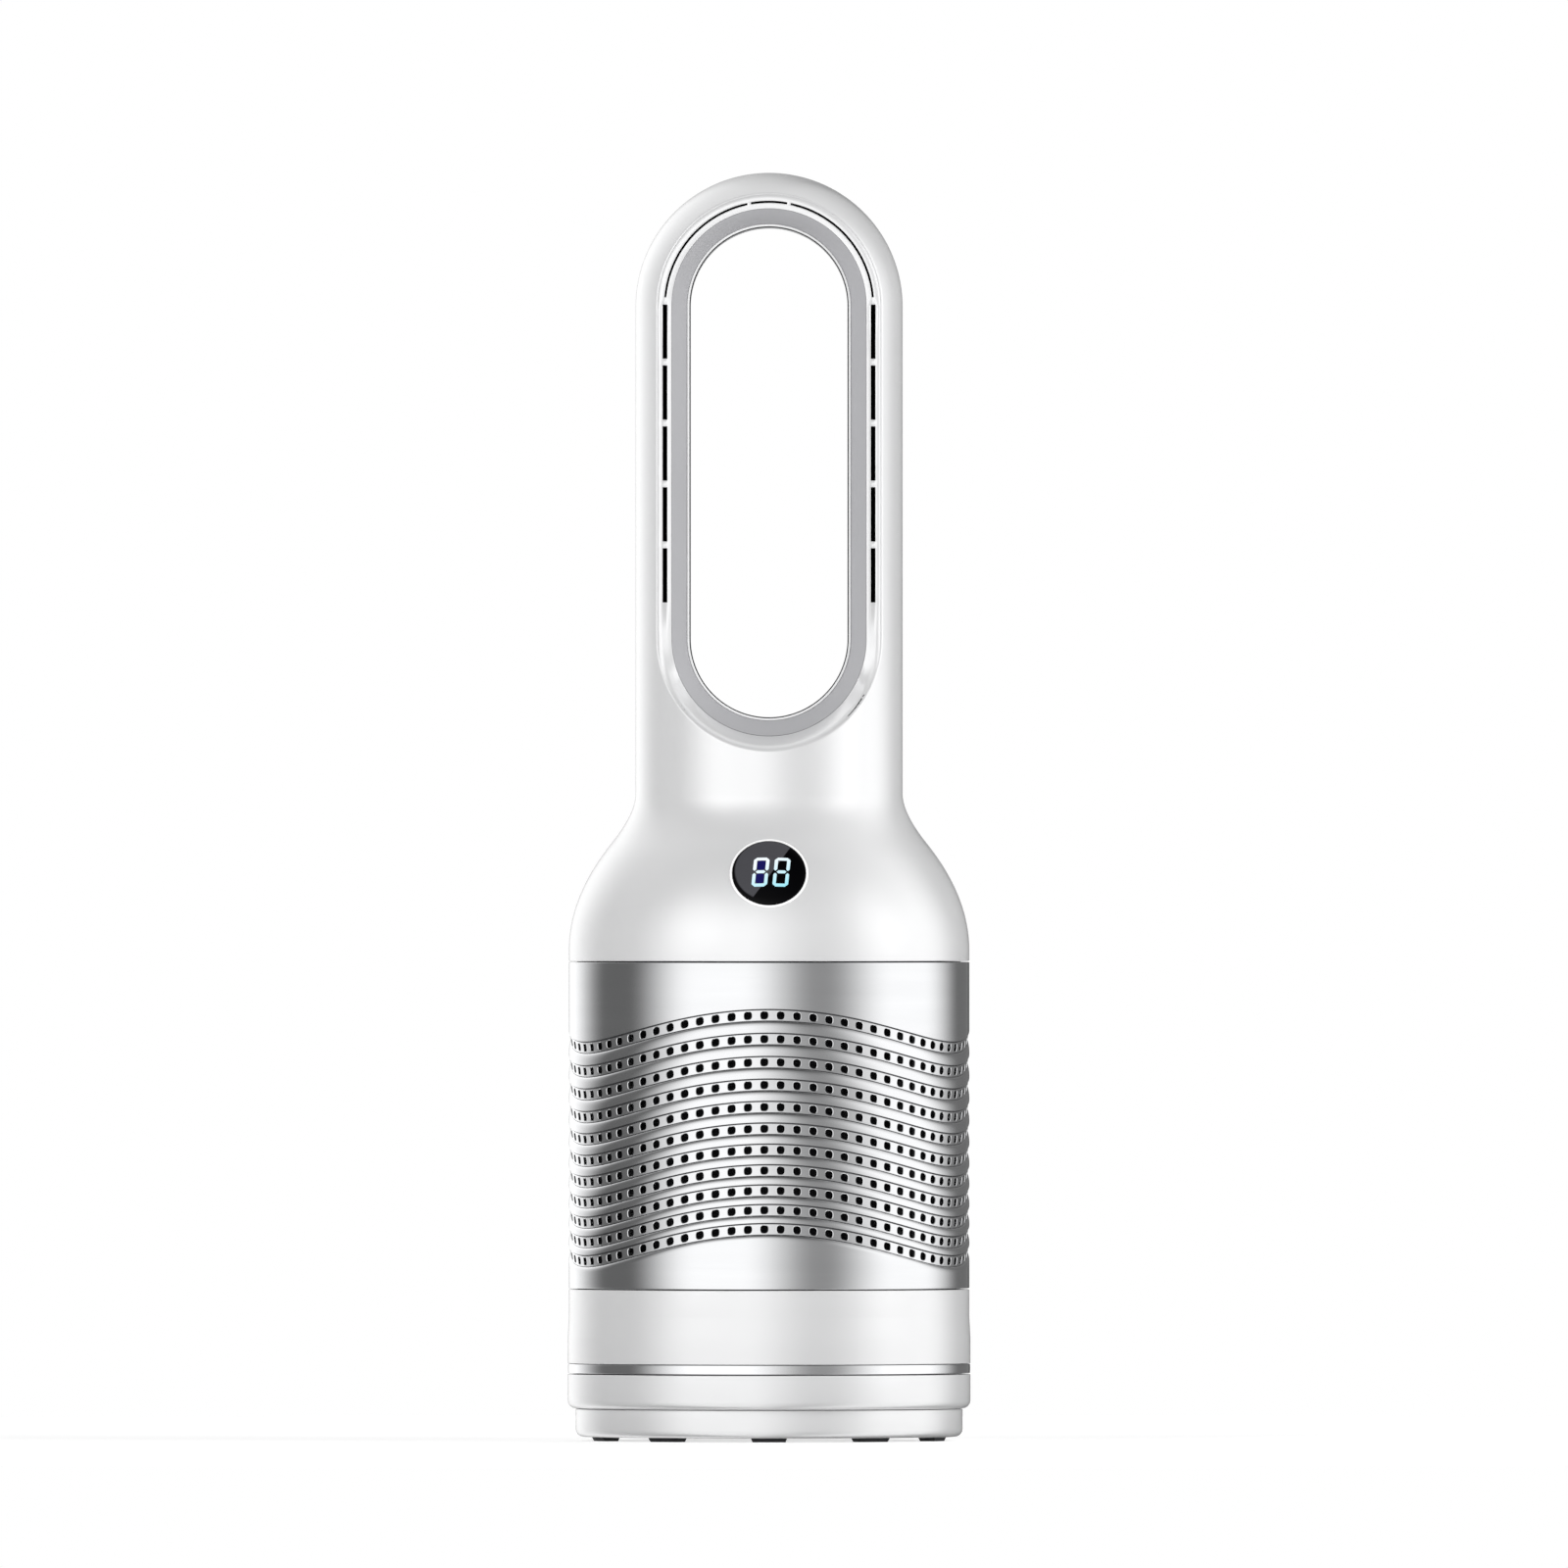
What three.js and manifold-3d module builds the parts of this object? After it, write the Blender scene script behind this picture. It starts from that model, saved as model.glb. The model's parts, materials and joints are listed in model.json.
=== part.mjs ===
// A bladeless tower fan on an oscillating base, in millimetres, +Z up. The front faces -Y and
// the origin is on the floor under the middle of the base. An impeller inside the perforated drum
// drives air up the neck and round the hollow loop, and it leaves by the slots in the loop's face.
import * as THREE from "three";
import { mergeVertices } from "three/addons/utils/BufferGeometryUtils.js";
import Module from "manifold-3d";

const wasm = await Module();
wasm.setup();

// ---------------------------------------------------------------- Driving dimensions
// Clearances
const fitGap = 0.3; // between two pieces that seat on each other
const seamGap = 0.6; // open seam between two outer covers
const tipGap = 1.2; // impeller blade tip to casing

// Heights of the outside, from the floor up
const footDrop = 2.1; // rubber below the foot plate
const footPlateHeight = 14.9;
const skirtHeight = 18.4;
const chromeHeight = 4.9;
const housingHeight = 39.6;
const drumHeight = 174.7;
const collarHeight = 5.8; // straight foot of the shoulder
const shoulderHeight = 83.7;
const neckLength = 83;
const loopStraight = 178.1;

// Radii and walls of the outside
const bodyRadius = 107.3;
const footFlare = 0.6; // the lower housing widens by this towards the base
const footInset = 4.2; // the foot plate stands back under the skirt
const neckRadius = 71.6;
const skinWall = 2.4; // moulded shells of the shoulder, neck and loop
const coverWall = 3; // base cover, lower housing and foot plate
const edgeRound = 4.5; // lower edges of the skirt and the foot plate
const shoulderReach = 28.7; // handle of the shoulder's outer curve, along the drum wall
const neckReach = 10.4; // handle of the neck's inner curve, along the neck wall
const shoulderTurn = 0.64; // where the two curves meet, from the outer handle to the inner

// Loop
const loopHalfDepth = 39.5; // the front and rear faces slice the round neck here
const nozzleWidth = 7.3;
const linerWall = 1.8;
const bevelWidth = 7.7;
const bevelDepth = 7.7;
const bevelWall = 2.4;
const nozzleThickness = 3;
const scoopThinning = 0.65; // how far the scoop's back follows its front
const ledgeWidth = 2.4;
const slotWidth = 2.5;
const slotLength = 29;
const slotPitch = 32.6;
const slotStart = 0.7; // the top slot begins this far above the upper arc's centre
const archSlotWidth = 1;
const archSlotAngles = [[-85.3, -12], [-10, 10], [12, 85.3]]; // degrees from straight up

// Drum grille: wavy rows of windows, set back between rounded lands
const drumWall = 3;
const drumSlack = 1.6; // the drum slips over the cage
const bandFoot = 1.3; // depth of the hole band at its foot
const bandHead = 0.6; // and at its head
const rowCount = 11;
const rowPitch = 11.19;
const rowTopDrop = 36.5; // from the drum's top edge to the mean height of the first row
const windowHeight = 4.4;
const windowsPerRow = 12;
const windowShare = 0.58; // of the pitch round the drum
const wave = { second: 1.31, third: 9.09, fourth: -2.03 }; // harmonics of the row's rise

// Display on the shoulder
const displayRise = 41.6; // above the foot of the shoulder's curve
const windowRadius = 19.7;
const windowThickness = 1.8;
const bezelWidth = 1.5;
const bezelProud = 0.4;
const displayLedge = 1.6;
const displayDepth = 11;
const digitHeight = 18.6;
const digitWidth = 8.6;
const digitStroke = 1.9;
const digitSpacing = 11.2;
const digitSlant = 0.09;
const digitBlockSize = [26, 21.2, 4.4];
const digitDrop = 2.5; // clear of the window's curved back
const boardThickness = 1.6;

// Base: feet, ballast, turntable and swing gear
const padCount = 10;
const padWidth = 10; // across the ring of pads
const padInset = 6.7; // from the foot plate's edge
const padAngle = 11.4; // degrees covered by one pad
const padSeat = 1;
const plateFloor = 3;
const postRadius = 5;
const postInset = 16.7; // from the foot plate's edge to the posts' ring
const ballastInner = 36;
const ballastGap = 7; // between the ballast and the posts' ring
const ballastThickness = 6;
const deckDrop = 3; // the deck lies below the skirt's top edge
const deckThickness = 2.6;
const skirtFlange = 2.4;
const flangeReach = 8.5;
const hubRadius = 22;
const hubWall = 4;
const retainerWidth = 8;
const retainerThickness = 3.2;
const bearingWidth = 11;
const bearingInset = 16.9; // from the skirt's outside
const toothModule = 2.2;
const gearTeeth = 28;
const pinionTeeth = 12;
const gearFace = 6;
const toothPlay = 0.5; // backlash at the pitch circle
const inletWidth = 20;
const inletHeight = 8;
const inletDepth = 11;
const inletWall = 2;
const inletRecess = 7;
const inletPinRadius = 1.2;
const inletPinSpacing = 8.6;

// Lower housing and what stands in it
const housingLedge = 8.3;
const swingMotorRadius = 25;
const swingMotorHeight = 17;
const swingShaftRadius = 3;
const swingShaftLength = 8; // inside the swing motor
const swingEars = { reach: 7, width: 12, thickness: 2.5 };
const boardSize = [84, 44];
const boardOffset = 54; // behind the axis
const standoffHeight = 6;
const standoffRadius = 3.5;
const transformerSize = [26, 22, 17];
const heatSink = { inset: 8, thickness: 4, length: 28, height: 16 };
const capacitor = { radius: 6, x: -12, y: -8, height: 17 }; // x and y from the board's middle
const connector = { x: -12, y: 12, width: 20, depth: 8, height: 8 };
const lidThickness = 2;
const lidCableHole = 9;

// Cage, impeller casing and motor
const cageRim = 6; // radial width of the cage's rim
const cageFootWidth = 4.7; // radial width of the cage's foot ring, with the gap to the lid
const cageRingHeight = 4;
const cagePostCount = 4;
const cagePostWidth = 9;
const cageShelf = 16; // radial width of the cage's top shelf
const cageShelfThickness = 3;
const filterWall = 6;
const filterGap = 2; // between the filter and the cage's foot ring
const sealWidth = 6;
const sealHeight = 2;
const casingMargin = 6.7; // between the casing and the cage's shelf
const casingInlet = 56;
const casingWall = 2.2;
const casingHeight = 127; // from inlet to flange
const casingFlare = 87; // height over which the casing widens
const podRadius = 42;
const podWall = 2.4;
const podFloorRise = 62; // above the casing's inlet
const podHeight = 60;
const vaneCount = 6;
const vaneThickness = 1.6;
const coneHeight = 54;
const coneTip = 7;
const bellLip = 9;
const bellHeight = 9;
const bladeCount = 7;
const bladeThickness = 2;
const impellerRise = 10; // above the casing's inlet
const impellerHeight = 48;
const impellerNose = 15;
const bladeWrap = 62; // degrees from the leading to the trailing edge
const shaftRadius = 3;
const ballBearingRadius = 8;
const ballBearingWidth = 5;
const bossWall = 2.7;
const statorInner = 20;
const statorHeight = 30;
const statorRise = 14; // above the pod's floor
const rotorGap = 0.8;

// Smoothness
const roundSteps = 24; // round the big covers
const innerSteps = 14; // round the hidden pieces
const casingSteps = 22; // round the casing and the tail cone
const windowSteps = 18; // round the display
const archSteps = 7; // round half of the loop

// ---------------------------------------------------------------- Levels worked out from them
const skirtZ = footDrop + footPlateHeight + fitGap;
const skirtTopZ = skirtZ + skirtHeight;
const deckTopZ = skirtTopZ - deckDrop;
const deckBottomZ = deckTopZ - deckThickness;
const chromeZ = skirtTopZ + seamGap;
const housingZ = chromeZ + chromeHeight + fitGap;
const housingFloorZ = housingZ + coverWall;
const housingTopZ = housingZ + housingHeight;
const drumZ = housingTopZ + seamGap;
const drumTopZ = drumZ + drumHeight;
const shellZ = drumTopZ + seamGap;
const shoulderZ = shellZ + collarHeight;
const neckZ = shoulderZ + shoulderHeight;
const loopLowZ = neckZ + neckLength;
const loopHighZ = loopLowZ + loopStraight;
const loopTopZ = loopHighZ + neckRadius;

const skirtRadius = bodyRadius + footFlare;
const footPlateRadius = skirtRadius - footInset;
const padOuterRadius = footPlateRadius - padInset;
const postRing = footPlateRadius - postInset;
const bearingOuter = skirtRadius - bearingInset;
const sliceRadius = Math.sqrt(neckRadius ** 2 - loopHalfDepth ** 2);
const nozzleOuter = sliceRadius - fitGap;
const nozzleInner = nozzleOuter - nozzleWidth;
const bevelInner = nozzleInner - fitGap - bevelWidth;
const openingRadius = bevelInner - fitGap - linerWall;
const nozzleSeatY = loopHalfDepth - nozzleThickness - fitGap; // the ledge behind the ring
const slotRadius = (nozzleInner + nozzleOuter) / 2;
const drumBore = bodyRadius - drumWall;
const cageRadius = drumBore - drumSlack;
const lidRadius = cageRadius - cageFootWidth;
const sealInner = cageRadius - cageShelf + fitGap;
const casingRadius = cageRadius - cageShelf - casingMargin;
const casingFlangeRadius = sealInner + sealWidth;
const shelfZ = shellZ - fitGap - cageRingHeight - cageShelfThickness;
const shelfTopZ = shelfZ + cageShelfThickness;
const casingTopZ = shelfTopZ + fitGap + sealHeight + fitGap;
const casingZ = casingTopZ + casingWall - casingHeight;
const podFloorZ = casingZ + podFloorRise;
const podTopZ = podFloorZ + podHeight;
const statorZ = podFloorZ + statorRise;
const statorTopZ = statorZ + statorHeight;
const gearRadius = (toothModule * gearTeeth) / 2;
const pinionRadius = (toothModule * pinionTeeth) / 2;
const swingCentre = gearRadius + pinionRadius;

// ---------------------------------------------------------------- Materials
function plastic(color, roughness = 0.3) {
  return new THREE.MeshStandardMaterial({ color, roughness, metalness: 0 });
}
function metal(color, roughness = 0.3) {
  return new THREE.MeshStandardMaterial({ color, roughness, metalness: 1 });
}
const white = () => plastic(0xf2f2f0, 0.18);
const greyPlastic = () => plastic(0xb5b5b8, 0.4);
const darkPlastic = () => plastic(0x2b2c2f, 0.5);
const rubber = () => plastic(0x1c1c1e, 0.85);
const steel = () => metal(0xb9bbbf, 0.35);

// ---------------------------------------------------------------- Shape helpers
const radians = THREE.MathUtils.degToRad;

// A closed triangle geometry as a solid that can be joined and cut.
function toSolid(geometry) {
  const bare = new THREE.BufferGeometry();
  bare.setAttribute("position", geometry.getAttribute("position"));
  bare.setIndex(geometry.index);
  const merged = mergeVertices(bare, 1e-3);
  const triVerts = [];
  const corner = merged.index.array;
  for (let i = 0; i < corner.length; i += 3) {
    const [a, b, c] = [corner[i], corner[i + 1], corner[i + 2]];
    if (a !== b && b !== c && c !== a) triVerts.push(a, b, c);
  }
  return new wasm.Manifold(
    new wasm.Mesh({
      numProp: 3,
      vertProperties: new Float32Array(merged.getAttribute("position").array),
      triVerts: new Uint32Array(triVerts),
    }),
  );
}

function toGeometry(solid) {
  const mesh = solid.getMesh();
  const geometry = new THREE.BufferGeometry();
  geometry.setAttribute("position", new THREE.BufferAttribute(mesh.vertProperties, 3));
  geometry.setIndex(new THREE.BufferAttribute(mesh.triVerts, 1));
  return geometry;
}

function join(first, ...others) {
  return others.reduce((sum, other) => sum.add(toSolid(other)), toSolid(first));
}

// A profile of [radius, z] corners turned about Z; it closes on itself or runs axis to axis.
function revolve(profile, steps = roundSteps) {
  const points = profile.map(([r, z]) => new THREE.Vector2(r, z));
  return new THREE.LatheGeometry(points, steps).rotateX(Math.PI / 2);
}

function ring(inner, outer, z0, z1, steps = roundSteps) {
  return revolve([[inner, z0], [outer, z0], [outer, z1], [inner, z1], [inner, z0]], steps);
}

function rod(radius, z0, z1, steps = innerSteps) {
  return revolve([[0, z0], [radius, z0], [radius, z1], [0, z1]], steps);
}

function box(x0, x1, y0, y1, z0, z1) {
  const geometry = new THREE.BoxGeometry(x1 - x0, y1 - y0, z1 - z0);
  return geometry.translate((x0 + x1) / 2, (y0 + y1) / 2, (z0 + z1) / 2);
}

// A quarter round from the underside to the side of a cover, as [radius, z] points.
function lowerEdge(outer, z, round, steps = 3) {
  const points = [];
  for (let i = 0; i <= steps; i++) {
    const turn = (i / steps) * (Math.PI / 2);
    points.push([outer - round + round * Math.sin(turn), z + round - round * Math.cos(turn)]);
  }
  return points;
}

// A flat outline of [x, y] corners, thickened from z0 to z1.
function plate(outline, z0, z1, holes = []) {
  const corners = (loop) => loop.map(([x, y]) => new THREE.Vector2(x, y));
  const shape = new THREE.Shape(corners(outline));
  shape.holes = holes.map((hole) => new THREE.Path(corners(hole)));
  const geometry = new THREE.ExtrudeGeometry(shape, { depth: z1 - z0, bevelEnabled: false });
  const bare = geometry.deleteAttribute("normal").deleteAttribute("uv");
  return mergeVertices(bare, 1e-4).translate(0, 0, z0);
}

function circle(radius, steps = innerSteps) {
  return Array.from({ length: steps }, (_, i) => {
    const turn = (i / steps) * 2 * Math.PI;
    return [radius * Math.cos(turn), radius * Math.sin(turn)];
  });
}

function arcBand(inner, outer, from, to, steps) {
  const turns = Array.from({ length: steps + 1 }, (_, i) => from + ((to - from) * i) / steps);
  const at = (radius) => (turn) => [radius * Math.cos(turn), radius * Math.sin(turn)];
  return [...turns.map(at(outer)), ...turns.reverse().map(at(inner))];
}

// Closed rings of points, all of one length, skinned in order; the last ring meets the first.
function skinLoop(rings) {
  return skin(rings, true);
}

// The same as an open run, with a flat cap over each end.
function skinRun(rings) {
  return skin(rings, false);
}

function skin(rings, closed) {
  const size = rings[0].length;
  const index = [];
  const spans = closed ? rings.length : rings.length - 1;
  for (let i = 0; i < spans; i++) {
    const here = i * size;
    const next = ((i + 1) % rings.length) * size;
    for (let j = 0; j < size; j++) {
      const k = (j + 1) % size;
      index.push(here + j, here + k, next + k, here + j, next + k, next + j);
    }
  }
  const last = (rings.length - 1) * size;
  for (let j = 1; !closed && j < size - 1; j++) {
    index.push(0, j + 1, j, last, last + j, last + j + 1);
  }
  const geometry = new THREE.BufferGeometry();
  geometry.setAttribute("position", new THREE.Float32BufferAttribute(rings.flat(2), 3));
  return geometry.setIndex(index);
}

// Stations round the loop: two half turns about the lower and the upper centre.
function loopStations() {
  const stations = [];
  for (let i = 0; i <= archSteps; i++) {
    stations.push({ turn: (i / archSteps) * Math.PI, z: loopHighZ });
  }
  for (let i = 0; i <= archSteps; i++) {
    stations.push({ turn: Math.PI + (i / archSteps) * Math.PI, z: loopLowZ });
  }
  return stations;
}

// A section of [radius, y] corners swept round the loop's opening. The section may also be a
// function that gives the corners at a turn.
function loopSweep(section) {
  const cornersAt = typeof section === "function" ? section : () => section;
  return skinLoop(
    loopStations().map(({ turn, z }) =>
      cornersAt(turn).map(([r, y]) => [r * Math.cos(turn), y, z + r * Math.sin(turn)]),
    ),
  );
}

function loopPrism(radius, y0, y1) {
  const outline = loopStations().map(({ turn, z }) => [
    radius * Math.cos(turn),
    z + radius * Math.sin(turn),
  ]);
  return plate(outline, -y1, -y0).rotateX(Math.PI / 2);
}

// ---------------------------------------------------------------- Outline of shoulder, neck and dome
const lowerHandle = new THREE.Vector2(bodyRadius, shoulderZ + shoulderReach);
const upperHandle = new THREE.Vector2(neckRadius, neckZ - neckReach);
const turnPoint = lowerHandle.clone().lerp(upperHandle, shoulderTurn);
const shoulderFoot = new THREE.Vector2(bodyRadius, shoulderZ);
const neckFoot = new THREE.Vector2(neckRadius, neckZ);
const shoulderCurve = new THREE.QuadraticBezierCurve(shoulderFoot, lowerHandle, turnPoint);
const outlineCurves = [
  { curve: new THREE.LineCurve(new THREE.Vector2(bodyRadius, shellZ), shoulderFoot), steps: 1 },
  { curve: shoulderCurve, steps: 5 },
  { curve: new THREE.QuadraticBezierCurve(turnPoint, upperHandle, neckFoot), steps: 3 },
  { curve: new THREE.LineCurve(neckFoot, new THREE.Vector2(neckRadius, loopHighZ)), steps: 1 },
  { curve: new THREE.EllipseCurve(0, loopHighZ, neckRadius, neckRadius, 0, Math.PI / 2), steps: 6 },
];

// The outline's points from the shell's foot to the top of the dome, moved inwards by inset.
function bodyOutline(inset) {
  return outlineCurves.flatMap(({ curve, steps }, n) =>
    Array.from({ length: steps + 1 }, (_, i) => i / steps)
      .slice(n ? 1 : 0)
      .map((t) => {
        const point = curve.getPoint(t);
        const along = curve.getTangent(t);
        return [Math.max(0, point.x - inset * along.y), point.y + inset * along.x];
      }),
  );
}

function bodySolid(inset, footZ = shellZ) {
  const points = bodyOutline(inset);
  points[points.length - 1][0] = 0;
  return toSolid(revolve([[0, footZ], [points[0][0], footZ], ...points]));
}

// Where the outline passes a height: its radius there, and the tilt of its outward normal.
function shoulderAt(z) {
  let [low, high] = [0, 1];
  for (let i = 0; i < 40; i++) {
    const middle = (low + high) / 2;
    if (shoulderCurve.getPoint(middle).y < z) low = middle;
    else high = middle;
  }
  const along = shoulderCurve.getTangent(low);
  return { radius: shoulderCurve.getPoint(low).x, tilt: Math.atan2(-along.x, along.y) };
}

// ---------------------------------------------------------------- Base
function footPlate() {
  const top = footDrop + footPlateHeight;
  const floor = footDrop + plateFloor;
  let solid = toSolid(
    revolve([
      [0, footDrop],
      ...lowerEdge(footPlateRadius, footDrop, edgeRound),
      [footPlateRadius, top],
      [footPlateRadius - coverWall, top],
      [footPlateRadius - coverWall, floor],
      [0, floor],
    ]),
  );
  for (let i = 0; i < 4; i++) {
    const turn = radians(45 + 90 * i);
    const post = rod(postRadius, floor - 0.5, deckBottomZ - fitGap, 8);
    solid = solid.add(toSolid(post.translate(postRing * Math.cos(turn), postRing * Math.sin(turn), 0)));
  }
  for (let i = 0; i < padCount; i++) {
    solid = solid.subtract(toSolid(padShape(i, fitGap, footDrop - 1, footDrop + padSeat)));
  }
  return toGeometry(solid);
}

function padShape(i, margin, z0, z1) {
  const middle = -Math.PI / 2 + (i * 2 * Math.PI) / padCount;
  const half = radians(padAngle / 2) + margin / padOuterRadius;
  const [inner, outer] = [padOuterRadius - padWidth - margin, padOuterRadius + margin];
  return plate(arcBand(inner, outer, middle - half, middle + half, 2), z0, z1);
}

function footPad(i) {
  return padShape(i, 0, 0, footDrop + padSeat - fitGap);
}

function baseCover() {
  const inner = skirtRadius - coverWall;
  const flangeInner = skirtRadius - flangeReach;
  const bore = hubRadius + fitGap;
  const profile = [
    [flangeInner, skirtZ],
    ...lowerEdge(skirtRadius, skirtZ, edgeRound),
    [skirtRadius, skirtTopZ],
    [inner, skirtTopZ],
    [inner, deckTopZ],
    [bore, deckTopZ],
    [bore, deckBottomZ],
    [inner, deckBottomZ],
    [inner, skirtZ + skirtFlange],
    [flangeInner, skirtZ + skirtFlange],
    [flangeInner, skirtZ],
  ];
  const [x, y0, y1, z0, z1] = inletSpan(fitGap);
  const opening = toSolid(box(-x, x, y0, y1 + coverWall, z0, z1));
  return toGeometry(toSolid(revolve(profile)).subtract(opening));
}

// Half width, front, back, bottom and top of the power inlet, grown by a margin.
function inletSpan(margin) {
  const half = inletWidth / 2 + margin;
  const back = Math.sqrt(skirtRadius ** 2 - half ** 2) - seamGap;
  const middle = (skirtZ + skirtFlange + deckBottomZ) / 2;
  const rise = inletHeight / 2 + margin;
  return [half, back - inletDepth, back, middle - rise, middle + rise];
}

function powerInlet() {
  const [x, y0, y1, z0, z1] = inletSpan(0);
  const middle = (z0 + z1) / 2;
  const floorY = y1 - inletRecess;
  const socketX = x - inletWall;
  const socket = box(-socketX, socketX, floorY, y1 + 1, z0 + inletWall, z1 - inletWall);
  let solid = toSolid(box(-x, x, y0, y1, z0, z1)).subtract(toSolid(socket));
  for (const side of [-1, 1]) {
    const pin = rod(inletPinRadius, -0.5, inletRecess - 1, 8).rotateX(-Math.PI / 2);
    solid = solid.add(toSolid(pin.translate((side * inletPinSpacing) / 2, floorY, middle)));
  }
  return toGeometry(solid);
}

function ballastPlate() {
  const floor = footDrop + plateFloor + fitGap;
  return ring(ballastInner, postRing - ballastGap, floor, floor + ballastThickness, innerSteps);
}

function turntableBearing() {
  const inner = bearingOuter - bearingWidth;
  return ring(inner, bearingOuter, deckTopZ + fitGap, housingZ - fitGap, innerSteps);
}

// The outline of a gear with one tooth centred on the +X axis. Each flank is the straight line
// between the root and the tip of its involute.
function gearOutline(teeth) {
  const pitch = (toothModule * teeth) / 2;
  const pressure = radians(20);
  const base = pitch * Math.cos(pressure);
  const tip = pitch + 0.85 * toothModule;
  const root = pitch - 1.15 * toothModule;
  const involute = (a) => Math.tan(a) - a;
  const halfAt = (r) => {
    const angle = r > base ? involute(Math.acos(base / r)) : 0;
    return Math.PI / (2 * teeth) - toothPlay / (4 * pitch) + involute(pressure) - angle;
  };
  const outline = [];
  for (let i = 0; i < teeth; i++) {
    const middle = (i * 2 * Math.PI) / teeth;
    const corner = (r, side) => [
      r * Math.cos(middle + side * halfAt(r)),
      r * Math.sin(middle + side * halfAt(r)),
    ];
    outline.push(corner(root, -1), corner(tip, -1), corner(tip, 1), corner(root, 1));
  }
  return outline;
}

function swingGear() {
  const bottom = deckTopZ + fitGap;
  const bore = circle(hubRadius + 2 * fitGap, roundSteps).reverse();
  return plate(gearOutline(gearTeeth), bottom, bottom + gearFace, [bore]).rotateZ(-Math.PI / 2);
}

// The pinion's own axis is Z; it is placed at the swing motor. A tooth space faces the gear.
function swingPinion() {
  const bottom = deckTopZ + 3 * fitGap;
  const teeth = plate(gearOutline(pinionTeeth), bottom, bottom + gearFace);
  const shaft = rod(swingShaftRadius, bottom + gearFace - 1, housingFloorZ + fitGap + swingShaftLength, 12);
  return toGeometry(join(teeth, shaft)).rotateZ(Math.PI / 2 + Math.PI / pinionTeeth);
}

// ---------------------------------------------------------------- Lower housing
function lowerHousing() {
  const inner = bodyRadius - coverWall;
  const ledge = bodyRadius - coverWall - housingLedge;
  const hubBore = hubRadius - hubWall;
  const hubFoot = deckBottomZ - 2 * fitGap - retainerThickness - 1;
  let solid = toSolid(
    revolve([
      [hubBore, hubFoot],
      [hubRadius, hubFoot],
      [hubRadius, housingZ],
      [skirtRadius, housingZ],
      [skirtRadius, housingZ + housingHeight / 3],
      [bodyRadius, housingZ + (housingHeight * 2) / 3],
      [bodyRadius, housingTopZ],
      [ledge, housingTopZ],
      [ledge, housingTopZ - coverWall],
      [inner, housingTopZ - coverWall],
      [inner, housingFloorZ],
      [hubBore, housingFloorZ],
      [hubBore, hubFoot],
    ]),
  );
  for (const [x, y] of standoffPlaces()) {
    const post = rod(standoffRadius, housingFloorZ - 0.5, housingFloorZ + standoffHeight, 8);
    solid = solid.add(toSolid(post.translate(x, y, 0)));
  }
  const shaftHole = rod(swingShaftRadius + 2 * fitGap, housingZ - 1, housingFloorZ + 1, 12);
  return toGeometry(solid.subtract(toSolid(shaftHole.translate(0, -swingCentre, 0))));
}

function standoffPlaces() {
  const [width, depth] = boardSize;
  const inset = standoffRadius + 1;
  return [-1, 1].flatMap((sx) =>
    [-1, 1].map((sy) => [sx * (width / 2 - inset), boardOffset + sy * (depth / 2 - inset)]),
  );
}

function chromeRing() {
  const inner = skirtRadius - coverWall - 1;
  return ring(inner, skirtRadius, chromeZ, chromeZ + chromeHeight);
}

function hubRetainer() {
  const top = deckBottomZ - fitGap;
  const inner = hubRadius + fitGap;
  return ring(inner, inner + retainerWidth, top - retainerThickness, top);
}

// The motor's own axis is Z; it is placed over the pinion.
function swingMotor() {
  const bottom = housingFloorZ + fitGap;
  const can = rod(swingMotorRadius, bottom, bottom + swingMotorHeight);
  const { reach, width, thickness } = swingEars;
  const end = swingMotorRadius + reach;
  const ears = box(-end, end, -width / 2, width / 2, bottom, bottom + thickness);
  const bore = rod(swingShaftRadius + fitGap, bottom - 1, bottom + swingShaftLength + fitGap, 12);
  return toGeometry(join(can, ears).subtract(toSolid(bore)));
}

function controlBoard() {
  const [width, depth] = boardSize;
  const bottom = housingFloorZ + standoffHeight + fitGap;
  const top = bottom + boardThickness;
  const upright = (x, y, wide, deep, high) =>
    box(x - wide / 2, x + wide / 2, y - deep / 2, y + deep / 2, top - 0.5, top + high);
  const sheet = box(-width / 2, width / 2, -depth / 2, depth / 2, bottom, top);
  const fin = upright(heatSink.inset - width / 2, 0, heatSink.thickness, heatSink.length, heatSink.height);
  const can = rod(capacitor.radius, top - 0.5, top + capacitor.height, 12);
  const plug = upright(connector.x, connector.y, connector.width, connector.depth, connector.height);
  const board = toGeometry(join(sheet, fin, can.translate(capacitor.x, capacitor.y, 0), plug));
  return board.translate(0, boardOffset, 0);
}

function transformer() {
  const [width, depth, height] = transformerSize;
  const bottom = housingFloorZ + standoffHeight + fitGap + boardThickness + fitGap;
  const coil = box(-width / 2, width / 2, -depth / 2, depth / 2, bottom, bottom + height);
  return coil.translate(boardSize[0] / 4, boardOffset, 0);
}

function electronicsLid() {
  const bottom = housingTopZ + fitGap;
  return ring(lidCableHole, lidRadius, bottom, bottom + lidThickness);
}

// ---------------------------------------------------------------- Drum grille
function rowRise(turn) {
  const { second, third, fourth } = wave;
  return second * Math.cos(2 * turn) + third * Math.cos(3 * turn) + fourth * Math.cos(4 * turn);
}

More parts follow.
